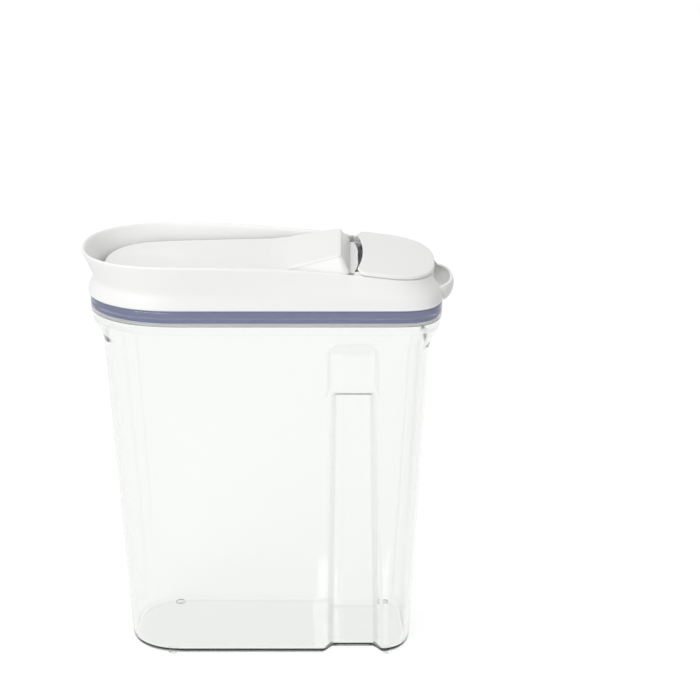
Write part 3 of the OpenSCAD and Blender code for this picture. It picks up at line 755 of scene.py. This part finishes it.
class KEEPER_OT_lid_shell(bpy.types.Operator):
    """Moulds the lid shell: flared rim, well, bridge, deck, chute and scoop"""
    bl_idname = "keeper.lid_shell"
    bl_label = "Lid Shell"

    def execute(self, context):
        lid = Lid(context.scene.keeper_lid)
        piece = self.bowl(lid)
        brackets = [self.bracket(lid, side) for side in (-1, 1)]
        for part in (self.deck(lid), self.bridge(lid), self.scoop(lid), *brackets):
            combine(piece, part, "UNION")
        bays = [self.bay(lid, side) for side in (-1, 1)]
        for part in (self.chute(lid), self.channel(lid), self.groove(lid), *bays):
            combine(piece, part, "DIFFERENCE")
        dress(piece, "lid_body", material_for(moulded_abs), ["lid_shell"])
        return {"FINISHED"}

    def bowl(self, lid):
        """The outer side, the rounded rim and the inner wall in one skin."""
        top = 0.958
        low_r = 0.7
        rings = [lid.outside(0, into, up) for into, up in rounding(low_r, 3)]
        shares = [0.06, 0.1, 0.14, 0.18, 0.22, 0.26, 0.29, 0.315, 0.33, 0.35, 0.365, 0.39, 0.43, 0.48, 0.53,
                  0.58, 0.63, 0.68, 0.73, 0.78, 0.83, 0.87, 0.91, top]
        rings += [lid.outside(s) for s in shares]
        turn = 8
        for i in range(1, turn):
            a = math.pi * i / turn
            s = top + (1 - top) * math.sin(a)
            across = (1 - math.cos(a)) / 2
            rings.append([tuple(mix(p, q, across) for p, q in zip(*pair))
                          for pair in zip(lid.outside(s), lid.inside(s))])
        rings.append(lid.inside(top))
        floor_r = 1.5
        wall = lid.inside(top)
        for t in steps(8)[1:]:
            rings.append(self.lowered(lid, wall, t, floor_r, 0))
        for above, inward in rounding(floor_r, 4)[1:]:
            rings.append(self.lowered(lid, wall, 1, above, inward))
        return loft("lid_shell_white", [whole(r) for r in rings])

    def lowered(self, lid, wall, t, above, inward):
        """The inner side between its top (t = 0) and a level above the well's floor (t = 1)."""
        z_end = lid.well_z + above
        z_tail = mix(wall[0][2], z_end, t)
        well, tail = lid.well_tail(glide(WELL_PROFILE, z_tail - lid.well_z) + inward)
        xs = tail + [p[0] for p in wall[END_STEPS + 1:]]
        half = []
        for i, x in enumerate(xs):
            z = mix(wall[i][2], z_end, t)
            if i < END_STEPS + 1 + len(lid.mids):
                y = well.half_at(x) * (lid.well_half(x, z) - inward)
            else:
                y = max(0.0, wall[i][1] - inward) if i < len(xs) - 1 else 0.0
            half.append((x, y, z))
        return half

    def deck(self, lid):
        """The floor of the pocket under the flap."""
        seat_drop = 4
        outline = Outline(HEEL_X - 3, FLAP_TIP_X - 1.4, SPOUT_W / 2 - 1.9, tail_run=4, tail_power=3,
                          tip_run=FRONT_RUN - 1, tip_power=FRONT_POWER)
        xs = outline.stations([HEEL_X + 6, HEEL_X + 10])
        low = [(x, outline.half_at(x), lid.low_z + 2) for x in xs]
        high = [(x, outline.half_at(x), rim_at(x) - seat_drop) for x in xs]
        return loft("deck", [whole(low), whole(high)])

    def bridge(self, lid):
        """The wall between the well and the chute, with the ledge on top."""
        under_nose, under_flap = 1.6, 3.5
        ledge_z = HINGE_Z + 0.4
        part = block("bridge", (RIM_END_X - under_nose, -lid.bay_in, lid.well_z - 1),
                     (HEEL_X + under_flap, lid.bay_in, ledge_z))
        return round_edges(part, 0.25)

    def bracket(self, lid, side):
        """One of the two ears that hold the lever's pin."""
        y_in, y_out = 24.6, PIN_HIGH.y
        radius = 4
        outline = wrap([(PIVOT_X, PIVOT_Z, radius), (PIVOT_X, lid.well_z + 3, radius)])
        return plate("bracket", outline, side * y_in, side * y_out)

    def scoop(self, lid):
        """The rounded scoop in front of the spout, which clears the container's rim."""
        low = lid.low_z - 5.5
        high = lid.scoop_z + 1.2
        # Distance from the tip, by the share of the scoop's height: round below, a little drawn in at the rim
        table = [(0, 6), (0.08, 4.4), (0.2, 2.7), (0.35, 1.3), (0.55, 0.4), (0.75, 0), (0.88, 0.2), (1, 0.8)]
        rings = []
        for s in steps(14):
            d = glide(table, s)
            outline = Outline(TIP_X - 30, TIP_X - d, lid.scoop_half - d, tail_run=4, tail_power=2,
                              tip_run=15, tip_power=2.3)
            rings.append(whole(outline.half_ring([TIP_X - 23, TIP_X - 21], mix(low, high, s))))
        part = loft("scoop", rings)
        rim_room = 0.8
        mouth = Body(bpy.context.scene.keeper_body).outline(MOUTH_Z).inset(-rim_room)
        room = loft("room", [whole(mouth.half_ring([-20, 20, 50], z)) for z in (low - 2, lid.low_z + 0.01)])
        combine(part, room, "DIFFERENCE")
        return part

    def chute(self, lid):
        """The opening through which the food falls: it widens to the flap's seat."""
        low = chute_outline(lid)
        high = chute_outline(lid, 2.9)
        levels = [(low, lid.low_z - 2), (low, lid.low_z + 1), (high, lid.low_z + 12), (high, RIM_Z)]
        return loft("chute", [whole(o.half_ring(CHUTE_MIDS, z)) for o, z in levels])

    def channel(self, lid):
        """The pouring channel through the end wall into the scoop."""
        wall_d, wall_half = 2.5, 21.3
        # Distance from the tip, by the height over the scoop's top: a round floor that meets upright walls
        table = [(-5.6, 9), (-4.8, 6.6), (-4, 5), (-3, 3.9), (-2, 3.2), (-1, 2.8), (0.02, wall_d),
                 (20, wall_d)]
        rings = []
        for z, d in table:
            half = wall_half - (d - wall_d) / 2
            outline = Outline(TIP_X - 40, TIP_X - d, half, tail_run=4, tail_power=2,
                              tip_run=13, tip_power=2.3)
            rings.append(whole(outline.half_ring([TIP_X - 32, TIP_X - 23], lid.scoop_z + z)))
        return loft("channel", rings)

    def groove(self, lid):
        """The crescent between the ledge's curved edge and the flap's rear edge."""
        ledge_x, under_x = HINGE_X + 0.6, HEEL_X + 2
        ys = [(lid.chute_half + 1) * t for t in steps(16)]
        ledge = [(ledge_x - CRESCENT * (y / lid.chute_half) ** 3, y) for y in ys]
        outline = ledge + [(under_x, y) for y in ys[::-1]]
        rings = [[(x, y, z) for x, y in outline] + [(x, -y, z) for x, y in outline[-2:0:-1]]
                 for z in (lid.low_z + 9, HINGE_Z + 3)]
        return loft("groove", rings)

    def bay(self, lid, side):
        """The bay beside the chute in which an arm of the flap and a lug of the lever move."""
        ends = sorted((side * lid.bay_in, side * lid.bay_out))
        floor_z = lid.low_z + 7.5
        return block("bay", (RIM_END_X, ends[0], floor_z), (BAY_FRONT_X, ends[1], RIM_Z))


class KEEPER_OT_lid_plug(bpy.types.Operator):
    """Moulds the plug under the shell and the band of the gasket round it"""
    bl_idname = "keeper.lid_plug"
    bl_label = "Lid Plug and Gasket"

    def execute(self, context):
        lid = Lid(context.scene.keeper_lid)
        body = Body(context.scene.keeper_body)
        mouth = body.outline(MOUTH_Z)
        flange_z = body.ledge_z + 0.3
        flange_h = 2.2
        flange = mouth.inset(LIP - PRESS)
        edge = [(flange_z, 0.5), (flange_z + 0.15, 0.15), (flange_z + 0.5, 0), (flange_z + flange_h - 0.5, 0),
                (flange_z + flange_h - 0.15, 0.15), (flange_z + flange_h, 0.5), (flange_z + flange_h, 2.5),
                (lid.well_z - 1.9, 2.5)]
        plug = loft("lid_plug_white", [whole(flange.inset(d).half_ring(PLUG_MIDS, z)) for z, d in edge])
        chute = chute_outline(lid)
        hole = loft("hole", [whole(chute.half_ring(CHUTE_MIDS, z)) for z in (flange_z - 1, lid.well_z + 1)])
        combine(plug, hole, "DIFFERENCE")
        dress(plug, "lid_body", material_for(moulded_abs), ["lid_plug"])

        low = flange_z + flange_h + 0.1
        high = MOUTH_Z + 0.1
        inner = 4.5
        outer = LIP - PRESS
        # Two lips with a groove between them, then the collar that lies on the container's rim
        band = [(low, inner), (low, outer + 0.6), (low + 0.3, outer + 0.1), (low + 0.8, outer),
                (low + 2.2, outer), (low + 2.6, outer + 0.35), (low + 3.4, outer + 0.35), (low + 3.8, outer),
                (high - 0.3, outer), (high - 0.05, outer - 0.2), (high, 0.9), (high + 0.3, 0.6),
                (lid.low_z - 0.3, 0.6), (lid.low_z - 0.1, 0.9), (lid.low_z - 0.1, inner)]
        rings = [whole(mouth.inset(d).half_ring(PLUG_MIDS, z)) for z, d in band]
        gasket = loft("gasket_band", rings, ends="bridged")
        dress(gasket, "lid_body", material_for(seal_elastomer), ["lid_gasket"])
        return {"FINISHED"}


# The press lever

class Lever:
    """The lever's form in millimetres."""

    def __init__(self, sizes):
        self.t = sizes.thickness / MM
        self.dish = sizes.dish / MM
        self.edge_r = sizes.edge_r / MM
        self.tail = LEVER_LOW.x
        self.tip = self.tail + sizes.reach / MM
        self.tail_run = 34
        self.foot_corner = 5
        self.nose_corner = 3.2
        self.nose_x = self.tip - 5.2
        self.nose_z = RIM_Z + sizes.nose_rise / MM
        self.pad_z = RIM_Z - 11.6
        self.half = sizes.width / 2 / MM
        self.nose_half = sizes.nose_w / 2 / MM
        self.foot_half = sizes.nose_foot_w / 2 / MM
        self.ramp_run = 39.6
        self.ramp_x = self.nose_x - self.ramp_run
        self.mids = [mix(self.tail + self.tail_run + 2, self.ramp_x - 8, t) for t in steps(10)]
        # Closer together where the pad eases into the ramp
        self.mids += [self.ramp_x + d for d in (-6, -4, -2, 0, 2, 4, 6, 8, 12, 16, 20, 24, 28, 31, 33)]

    def top(self, x):
        """Height of the top: the level pad, eased into the ramp up to the nose."""
        pad = self.pad_z + (x - self.tail) * 0.042
        ease = 5.4 * smooth(1 - (x - self.ramp_x + 6) / 12)
        return mix(pad, self.nose_z, clamp((x - self.ramp_x + ease) / self.ramp_run))

    def dish_at(self, x, y):
        """Depth of the finger dish: an oval hollow near the tail."""
        return self.dish * smooth(1.35 * (1 - math.hypot((x - self.tail - 30) / 30, y / 25)))

    def half_at(self, x, top):
        """Half width at a place along the lever, at its lower edge (top = 0) or its top (1)."""
        narrow_x = self.tail + 46
        draw = 3 * smooth((x - narrow_x) / (self.ramp_x - narrow_x))
        rise = clamp((x - self.ramp_x) / self.ramp_run)
        return mix(self.half - draw, mix(self.foot_half, self.nose_half, top), rise)

    def skirt(self, x):
        """How far the lever's lower edge hangs below its top."""
        return mix(3.4, 10.2, clamp((x - self.ramp_x) / self.ramp_run))

    def edge(self, top):
        """The edge round the tail, along the side, round the nose's corner and across its flat end."""
        tip = mix(self.tip, self.nose_x, top)
        corner = mix(self.foot_corner, self.nose_corner, top)
        tail = Outline(self.tail, tip, 1, self.tail_run, tail_power=2.4, tip_run=1, tip_power=2)
        xs = tail.stations(self.mids, 16)[:17 + len(self.mids)]
        edge = [(x, tail.half_at(x) * self.half_at(x, top)) for x in xs]
        wide = self.half_at(tip - corner, top)
        edge += [(tip - corner * (1 - math.sin(a)), wide - corner * (1 - math.cos(a))) for a in quarter(8)]
        return edge + [(tip, (wide - corner) * t) for t in (0.75, 0.5, 0.25, 0)]

    def ring(self, top, inward, scale, drop):
        """A ring moved in by a distance, then scaled towards the lever's middle line."""
        edge = self.edge(top)
        tip = edge[-1][0]
        start, end = self.tail + 20, tip - 10
        half = []
        for x, wide in edge:
            mid = clamp((x - start) / (end - start))
            at = mix(mix(start, end, mid), x, scale)
            y = max(0.0, wide - inward) * scale
            if x < self.tail + self.tail_run:
                at += inward * scale * (self.tail + self.tail_run - x) / self.tail_run
            elif x > tip - self.foot_corner:
                at -= inward * scale * (x - tip + self.foot_corner) / self.foot_corner
            half.append((at, y, self.top(at) - self.dish_at(at, y) - drop(at)))
        return whole(half)


class KEEPER_OT_press_lever(bpy.types.Operator):
    """Moulds the press lever with its finger dish, rising nose and slotted lugs"""
    bl_idname = "keeper.press_lever"
    bl_label = "Press Lever"

    def execute(self, context):
        lid = Lid(context.scene.keeper_lid)
        lever = Lever(context.scene.keeper_lever)
        opening = context.scene.keeper_flap.opening
        t, r = lever.t, lever.edge_r

        def level(h):
            return lambda x: h

        def hang(less):
            return lambda x: lever.skirt(x) - less

        rings = [lever.ring(1, t, scale, level(t)) for scale in (0, 0.3, 0.55, 0.8, 0.95, 1)]
        rings += [lever.ring(0, inward, 1, hang(less))
                  for inward, less in ((1.8, 0), (1.6, -0.1), (0.3, -0.1), (0.05, 0.2))]
        for s in (0.15, 0.35, 0.55, 0.75, 0.9):
            rings.append(lever.ring(s, 0, 1, lambda x: mix(lever.skirt(x) - 0.2, r, s)))
        rings += [lever.ring(1, into, 1, level(down)) for down, into in rounding(r, 6)]
        rings += [lever.ring(1, r, scale, level(0)) for scale in
                  (0.97, 0.93, 0.88, 0.82, 0.76, 0.7, 0.64, 0.57, 0.5, 0.43, 0.36, 0.29, 0.22, 0.15, 0.08, 0)]
        piece = loft("press_lever_white", rings, ends="zipped")
        for side in (-1, 1):
            for part in self.lug(lid, lever, opening, side):
                combine(piece, part, "UNION")
            combine(piece, self.slot(lid, opening, side), "DIFFERENCE")
        dress(piece, "lever_body", material_for(moulded_abs), ["press_lever"])
        return {"FINISHED"}

    def lug_faces(self, lid, side):
        """The two faces of a lug, across the object: next to the flap's arm and as thick."""
        outer = lid.arm_in - ARM_ROOM
        return sorted((side * (outer - ARM_T), side * outer))

    def lug(self, lid, lever, opening, side):
        """A lug with its head round the slot, its neck under the ledge and its stem inside the skirt."""
        x, z = crank(opening)
        y0, y1 = self.lug_faces(lid, side)
        stem_x, stem_end = x - 21, x - 13.6
        under = lever.top(stem_x) - lever.skirt(stem_x) + 1.6
        yield plate("lug_head", wrap([(x - 0.3, z, 2.9), (x + 1.1, z, 2.9)]), y0, y1)
        yield plate("lug_neck", wrap([(x - 1.5, z - 1, 1.9), (x - 8, z - 4.8, 1.7)]), y0, y1)
        yield plate("lug_root", wrap([(x - 8, z - 4.8, 1.7), (stem_x + 2, z - 2.5, 1.7)]), y0, y1)
        stem = [(stem_x, z - 3), (stem_end, z - 3), (stem_end, under), (stem_x, under)]
        yield plate("lug_stem", stem, y0, y1)

    def slot(self, lid, opening, side):
        """The slot in which a crank pin slides."""
        x, z = crank(opening)
        y0, y1 = self.lug_faces(lid, side)
        rear, front = SLOT_REACH
        return plate("slot", wrap([(x - rear, z, SLOT_R), (x + front, z, SLOT_R)]), y0 - 1, y1 + 1)


# The flap

class Flap:
    """The flap plate's form in millimetres."""

    def __init__(self, sizes):
        self.t = sizes.thickness / MM
        self.crown = sizes.crown / MM
        self.edge_drop = 1.1
        self.mid_x = (HEEL_X + FLAP_TIP_X) / 2

    def half_at(self, x):
        """Half width at a place along the flap."""
        return top_half(x) * arc((x - FLAP_TIP_X + FRONT_RUN) / FRONT_RUN, FRONT_POWER)

    def rear(self, y):
        """The rear edge's place along the object: an arc, hollow towards the lever."""
        return HEEL_X + 1 - 3.6 * (y / 34) ** 2

    def edge(self):
        """The plate's edge from the middle of its rear arc, round the heel and along the side to the tip."""
        rear = [(self.rear(33.4 * t), 33.4 * t) for t in steps(16)]
        # The heel's round corner, as distances from the heel's place and from the middle
        corner = [(-2.46, 34.3), (-2.25, 35.2), (-1.95, 36.2), (-1.6, 37.2), (-1.2, 38.2), (-0.8, 39),
                  (-0.45, 39.7), (0, 40.5), (0.5, 41.1), (1, 41.4), (1.6, 41.6)]
        heel = [(HEEL_X + d, y) for d, y in corner]
        sides = [(HEEL_X + d, self.half_at(HEEL_X + d)) for d in (2.6, 4.6, 6.6, 8.6, 10.6)]
        front = [FLAP_TIP_X - FRONT_RUN * (1 - math.cos(math.pi / 2 * t) ** (2 / FRONT_POWER))
                 for t in steps(24)[::-1]]
        return rear + heel + sides + [(x, self.half_at(x)) for x in front]

    def top(self, x, y):
        """Height of the crowned top."""
        reach = min(1, abs(y) / self.half_at(min(x, FLAP_TIP_X - 0.1)))
        return rim_at(x) + self.t + self.crown * (1 - reach**2)

    def ring(self, scale, drop):
        """The edge scaled towards the middle and lowered, with the heel bevelled below the edge."""
        ring = []
        for x, y in self.edge():
            at, off = mix(self.mid_x, x, scale), y * scale
            bevel = 1.8 * max(0, drop - self.edge_drop) * clamp((HEEL_X + 3 - x) / 5)
            ring.append((at + bevel, off, self.top(at, off) - drop))
        return whole(ring)


class KEEPER_OT_flap(bpy.types.Operator):
    """Moulds the flap with its tongue, arms and crank pins, and the seal under it"""
    bl_idname = "keeper.flap"
    bl_label = "Flap and Seal"

    def execute(self, context):
        sizes = context.scene.keeper_flap
        lid = Lid(context.scene.keeper_lid)
        flap = Flap(sizes)
        t = flap.t
        # From the middle of the underside, round the thin edge and back over the top
        rings = [flap.ring(scale, t) for scale in (0.06, 0.3, 0.55, 0.8, 0.95, 0.985)]
        rings += [flap.ring(0.985 + 0.015 * math.sin(a), t - 0.5 * (1 - math.cos(a))) for a in quarter(3)[1:]]
        rings += [flap.ring(1 - 0.03 * (1 - math.cos(a)), flap.edge_drop * (1 - math.sin(a)))
                  for a in quarter(6)]
        rings += [flap.ring(scale, 0) for scale in
                  (0.94, 0.9, 0.85, 0.79, 0.72, 0.65, 0.58, 0.5, 0.42, 0.34, 0.26, 0.18, 0.06)]
        piece = loft("flap_white", rings)
        combine(piece, self.tongue(lid), "UNION")
        for side in (-1, 1):
            for part in self.arm(lid, sizes.opening, side):
                combine(piece, part, "UNION")
        dress(piece, "flap_body", material_for(moulded_abs), ["flap"])
        seal = self.seal(lid)
        # The seal's dark grey is painted shade: it darkens the crescent behind the flap's rear edge, where
        # the gap lies in shadow
        dress(seal, "flap_body", material_for(seal_lip_rubber_painted_shade), ["flap_seal"])
        return {"FINISHED"}

    def tongue(self, lid):
        """The front lip that closes the pouring notch."""
        low, high = lid.scoop_z + 1, rim_at(FLAP_TIP_X) + 1
        outer = Outline(HEEL_X, FLAP_TIP_X - 0.3, SPOUT_W / 2 - 0.7, tail_run=4, tail_power=2,
                        tip_run=FRONT_RUN - 1, tip_power=FRONT_POWER)
        tongue_t = 2
        inner = outer.inset(tongue_t)
        part = loft("tongue", [whole(outer.half_ring(CHUTE_MIDS[1:], z)) for z in (low, high)])
        room = loft("room", [whole(inner.half_ring(CHUTE_MIDS[1:], z)) for z in (low - 1, high + 1)])
        combine(part, room, "DIFFERENCE")
        half = 20.7
        keep = block("keep", (TIP_X - 30, -half, low - 2), (TIP_X, half, high + 2))
        combine(part, keep, "INTERSECT")
        return part

    def arm(self, lid, opening, side):
        """One arm with its crank pin."""
        x, z = crank(opening)
        front_z = rim_at(BAY_FRONT_X) - 0.6
        outline = wrap([(HINGE_X, HINGE_Z, 2.5), (x, z, 2.3), (BAY_FRONT_X - 1, front_z, 1),
                        (HINGE_X + 3, HINGE_Z + 2.3, 1)])
        yield plate("arm", outline, *sorted((side * lid.arm_in, side * lid.arm_out)))
        pin = wrap([(x, z, 1.3)])
        pin_end = lid.arm_in - ARM_ROOM - ARM_T
        yield plate("crank_pin", pin, *sorted((side * pin_end, side * (lid.arm_in + 1))))

    def lip(self, x):
        """One at the seal's rear, which hangs down behind the flap's rear edge, and none further on."""
        return 1 - smooth((x - HEEL_X - 0.8) / 2.4)

    def seal(self, lid):
        """The soft ring that presses on the chute's edge."""
        outline = Outline(HINGE_X + 1.2, FLAP_TIP_X - 3.9, lid.chute_half + 2.2, tail_run=3.4, tail_power=2.6,
                          tip_run=32, tip_power=2.4)
        # The ring's section: distance in from the outline, and below the flap's underside
        table = [(0.35, 3.9), (0.08, 3.6), (0, 3.2), (0, 0.6), (0.2, 0.1), (2, 0.1), (2.2, 0.6), (2.2, 3.4),
                 (1.9, 3.9)]
        lip_drop = 4.6
        rings = []
        for d, drop in table:
            o = outline.inset(d)
            half = []
            for x in o.stations(CHUTE_MIDS):
                y = o.half_at(x)
                behind = self.lip(x)
                at = x - CRESCENT * behind * min(1, y / lid.chute_half) ** 3
                half.append((at, y, rim_at(x) - drop - lip_drop * behind))
            rings.append(whole(half))
        return loft("flap_seal_ring", rings, ends="bridged")


class KEEPER_OT_pins(bpy.types.Operator):
    """Gives the pins and the spring their steel"""
    bl_idname = "keeper.pins"
    bl_label = "Pins and Spring"

    def execute(self, context):
        steel = material_for(drawn_steel)
        for name in ("lever_pin", "lever_spring", "flap_pin_front", "flap_pin_rear"):
            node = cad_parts[name]
            node.data.materials.clear()
            node.data.materials.append(steel)
        return {"FINISHED"}


# The stage: the camera stands where the photograph was taken from

CAMERA_PLACE = (0.0528, -1.3, 0.7182)
CAMERA_TILT = math.radians(68.51)
CAMERA_LENS = 109.4
CAMERA_SENSOR = 36
LAMP_AIM = Vector((0, 0, 0.2))
FLOOR_SIZE = 8
# The floor lies just below the feet
FLOOR_Z = -0.0002
# Light from all round, and the white that the camera, reflections and the clear walls see
ROOM_LIGHT = 0.57
ROOM_WHITE = 1.0
FLOOR_GLOW = 0.88


class KEEPER_OT_stage(bpy.types.Operator):
    """Sets the camera, the pale floor, the soft lamps and the white surroundings"""
    bl_idname = "keeper.stage"
    bl_label = "Stage"

    def execute(self, context):
        deselect()
        bpy.ops.object.camera_add(location=CAMERA_PLACE, rotation=(CAMERA_TILT, 0, 0))
        camera = bpy.context.object
        camera.name = "camera"
        camera.data.lens = CAMERA_LENS
        camera.data.sensor_width = CAMERA_SENSOR
        context.scene.camera = camera
        self.floor()
        self.lamp("key", (-0.8, -1.5, 0.9), 1.0, 16.4)
        self.lamp("top", (-0.3, 0.2, 1.7), 1.4, 7)
        self.surroundings(context.scene)
        context.scene.view_settings.view_transform = "Standard"
        return {"FINISHED"}

    def lamp(self, name, place, size, watts):
        """A square soft box that faces the object."""
        turn = (LAMP_AIM - Vector(place)).to_track_quat("-Z", "Y").to_euler()
        bpy.ops.object.light_add(type="AREA", location=place, rotation=turn)
        light = bpy.context.object
        light.name = name
        light.data.size = size
        light.data.energy = watts

    def floor(self):
        """The white sweep that the object stands on."""
        bpy.ops.mesh.primitive_plane_add(size=FLOOR_SIZE, location=(0, 0, FLOOR_Z))
        floor = bpy.context.object
        floor.name = "floor"
        material, tree, place = new_material("white_sweep")
        # Matt card: it takes the object's shadow, and shows the rest almost white
        card = add_node(tree, "ShaderNodeBsdfDiffuse", inputs={"Color": srgb("#D8D8D8")})
        faint = add_node(tree, "ShaderNodeBsdfDiffuse", inputs={"Color": srgb("#7C7C7C")})
        glow = add_node(tree, "ShaderNodeEmission", inputs={"Color": srgb("#FFFFFF"), "Strength": FLOOR_GLOW})
        lit = add_node(tree, "ShaderNodeAddShader")
        tree.links.new(faint.outputs[0], lit.inputs[0])
        tree.links.new(glow.outputs[0], lit.inputs[1])
        seen = self.seen(tree)
        choose = add_node(tree, "ShaderNodeMixShader", links={"Fac": seen})
        tree.links.new(card.outputs[0], choose.inputs[1])
        tree.links.new(lit.outputs[0], choose.inputs[2])
        end_material(tree, choose.outputs[0])
        floor.data.materials.append(material)

    def seen(self, tree):
        """One where a ray comes from the camera, a reflection or a view through the clear walls."""
        path = add_node(tree, "ShaderNodeLightPath")
        glossy = add_node(tree, "ShaderNodeMath", settings={"operation": "MAXIMUM"})
        tree.links.new(path.outputs["Is Camera Ray"], glossy.inputs[0])
        tree.links.new(path.outputs["Is Glossy Ray"], glossy.inputs[1])
        both = add_node(tree, "ShaderNodeMath", settings={"operation": "MAXIMUM"})
        tree.links.new(glossy.outputs[0], both.inputs[0])
        tree.links.new(path.outputs["Is Transmission Ray"], both.inputs[1])
        return both.outputs[0]

    def surroundings(self, scene):
        """White behind the object, and a softer white that lights it."""
        world = bpy.data.worlds.new("white_room")
        scene.world = world
        world.use_nodes = True
        tree = world.node_tree
        tree.nodes.clear()
        white = srgb("#FFFFFF")
        light = add_node(tree, "ShaderNodeBackground", inputs={"Color": white, "Strength": ROOM_LIGHT})
        back = add_node(tree, "ShaderNodeBackground", inputs={"Color": white, "Strength": ROOM_WHITE})
        choose = add_node(tree, "ShaderNodeMixShader", links={"Fac": self.seen(tree)})
        tree.links.new(light.outputs[0], choose.inputs[1])
        tree.links.new(back.outputs[0], choose.inputs[2])
        add_node(tree, "ShaderNodeOutputWorld", links={"Surface": choose.outputs[0]})


STEPS = ("stage", "container", "lid_shell", "lid_plug", "press_lever", "flap", "pins")


class KEEPER_PT_panel(bpy.types.Panel):
    """Lists the pieces and their sizes"""
    bl_idname = "KEEPER_PT_panel"
    bl_label = "Cereal Keeper"
    bl_space_type = "VIEW_3D"
    bl_region_type = "UI"
    bl_category = "Keeper"

    def draw(self, context):
        for step in STEPS:
            self.layout.operator("keeper." + step)
        for group in GROUPS:
            sizes = getattr(context.scene, group)
            for name in sizes.__annotations__:
                self.layout.prop(sizes, name)


GROUPS = {
    "keeper_body": KeeperBodySizes,
    "keeper_lid": KeeperLidSizes,
    "keeper_lever": KeeperLeverSizes,
    "keeper_flap": KeeperFlapSizes,
    "keeper_finish": KeeperFinish,
}

CLASSES = (
    *GROUPS.values(),
    KEEPER_OT_stage,
    KEEPER_OT_container,
    KEEPER_OT_lid_shell,
    KEEPER_OT_lid_plug,
    KEEPER_OT_press_lever,
    KEEPER_OT_flap,
    KEEPER_OT_pins,
    KEEPER_PT_panel,
)


def register():
    for cls in CLASSES:
        bpy.utils.register_class(cls)
    for name, group in GROUPS.items():
        setattr(bpy.types.Scene, name, bpy.props.PointerProperty(type=group))


def unregister():
    for name in GROUPS:
        delattr(bpy.types.Scene, name)
    for cls in reversed(CLASSES):
        bpy.utils.unregister_class(cls)


def main():
    register()
    for step in STEPS:
        getattr(bpy.ops.keeper, step)()


if __name__ == "__main__":
    main()
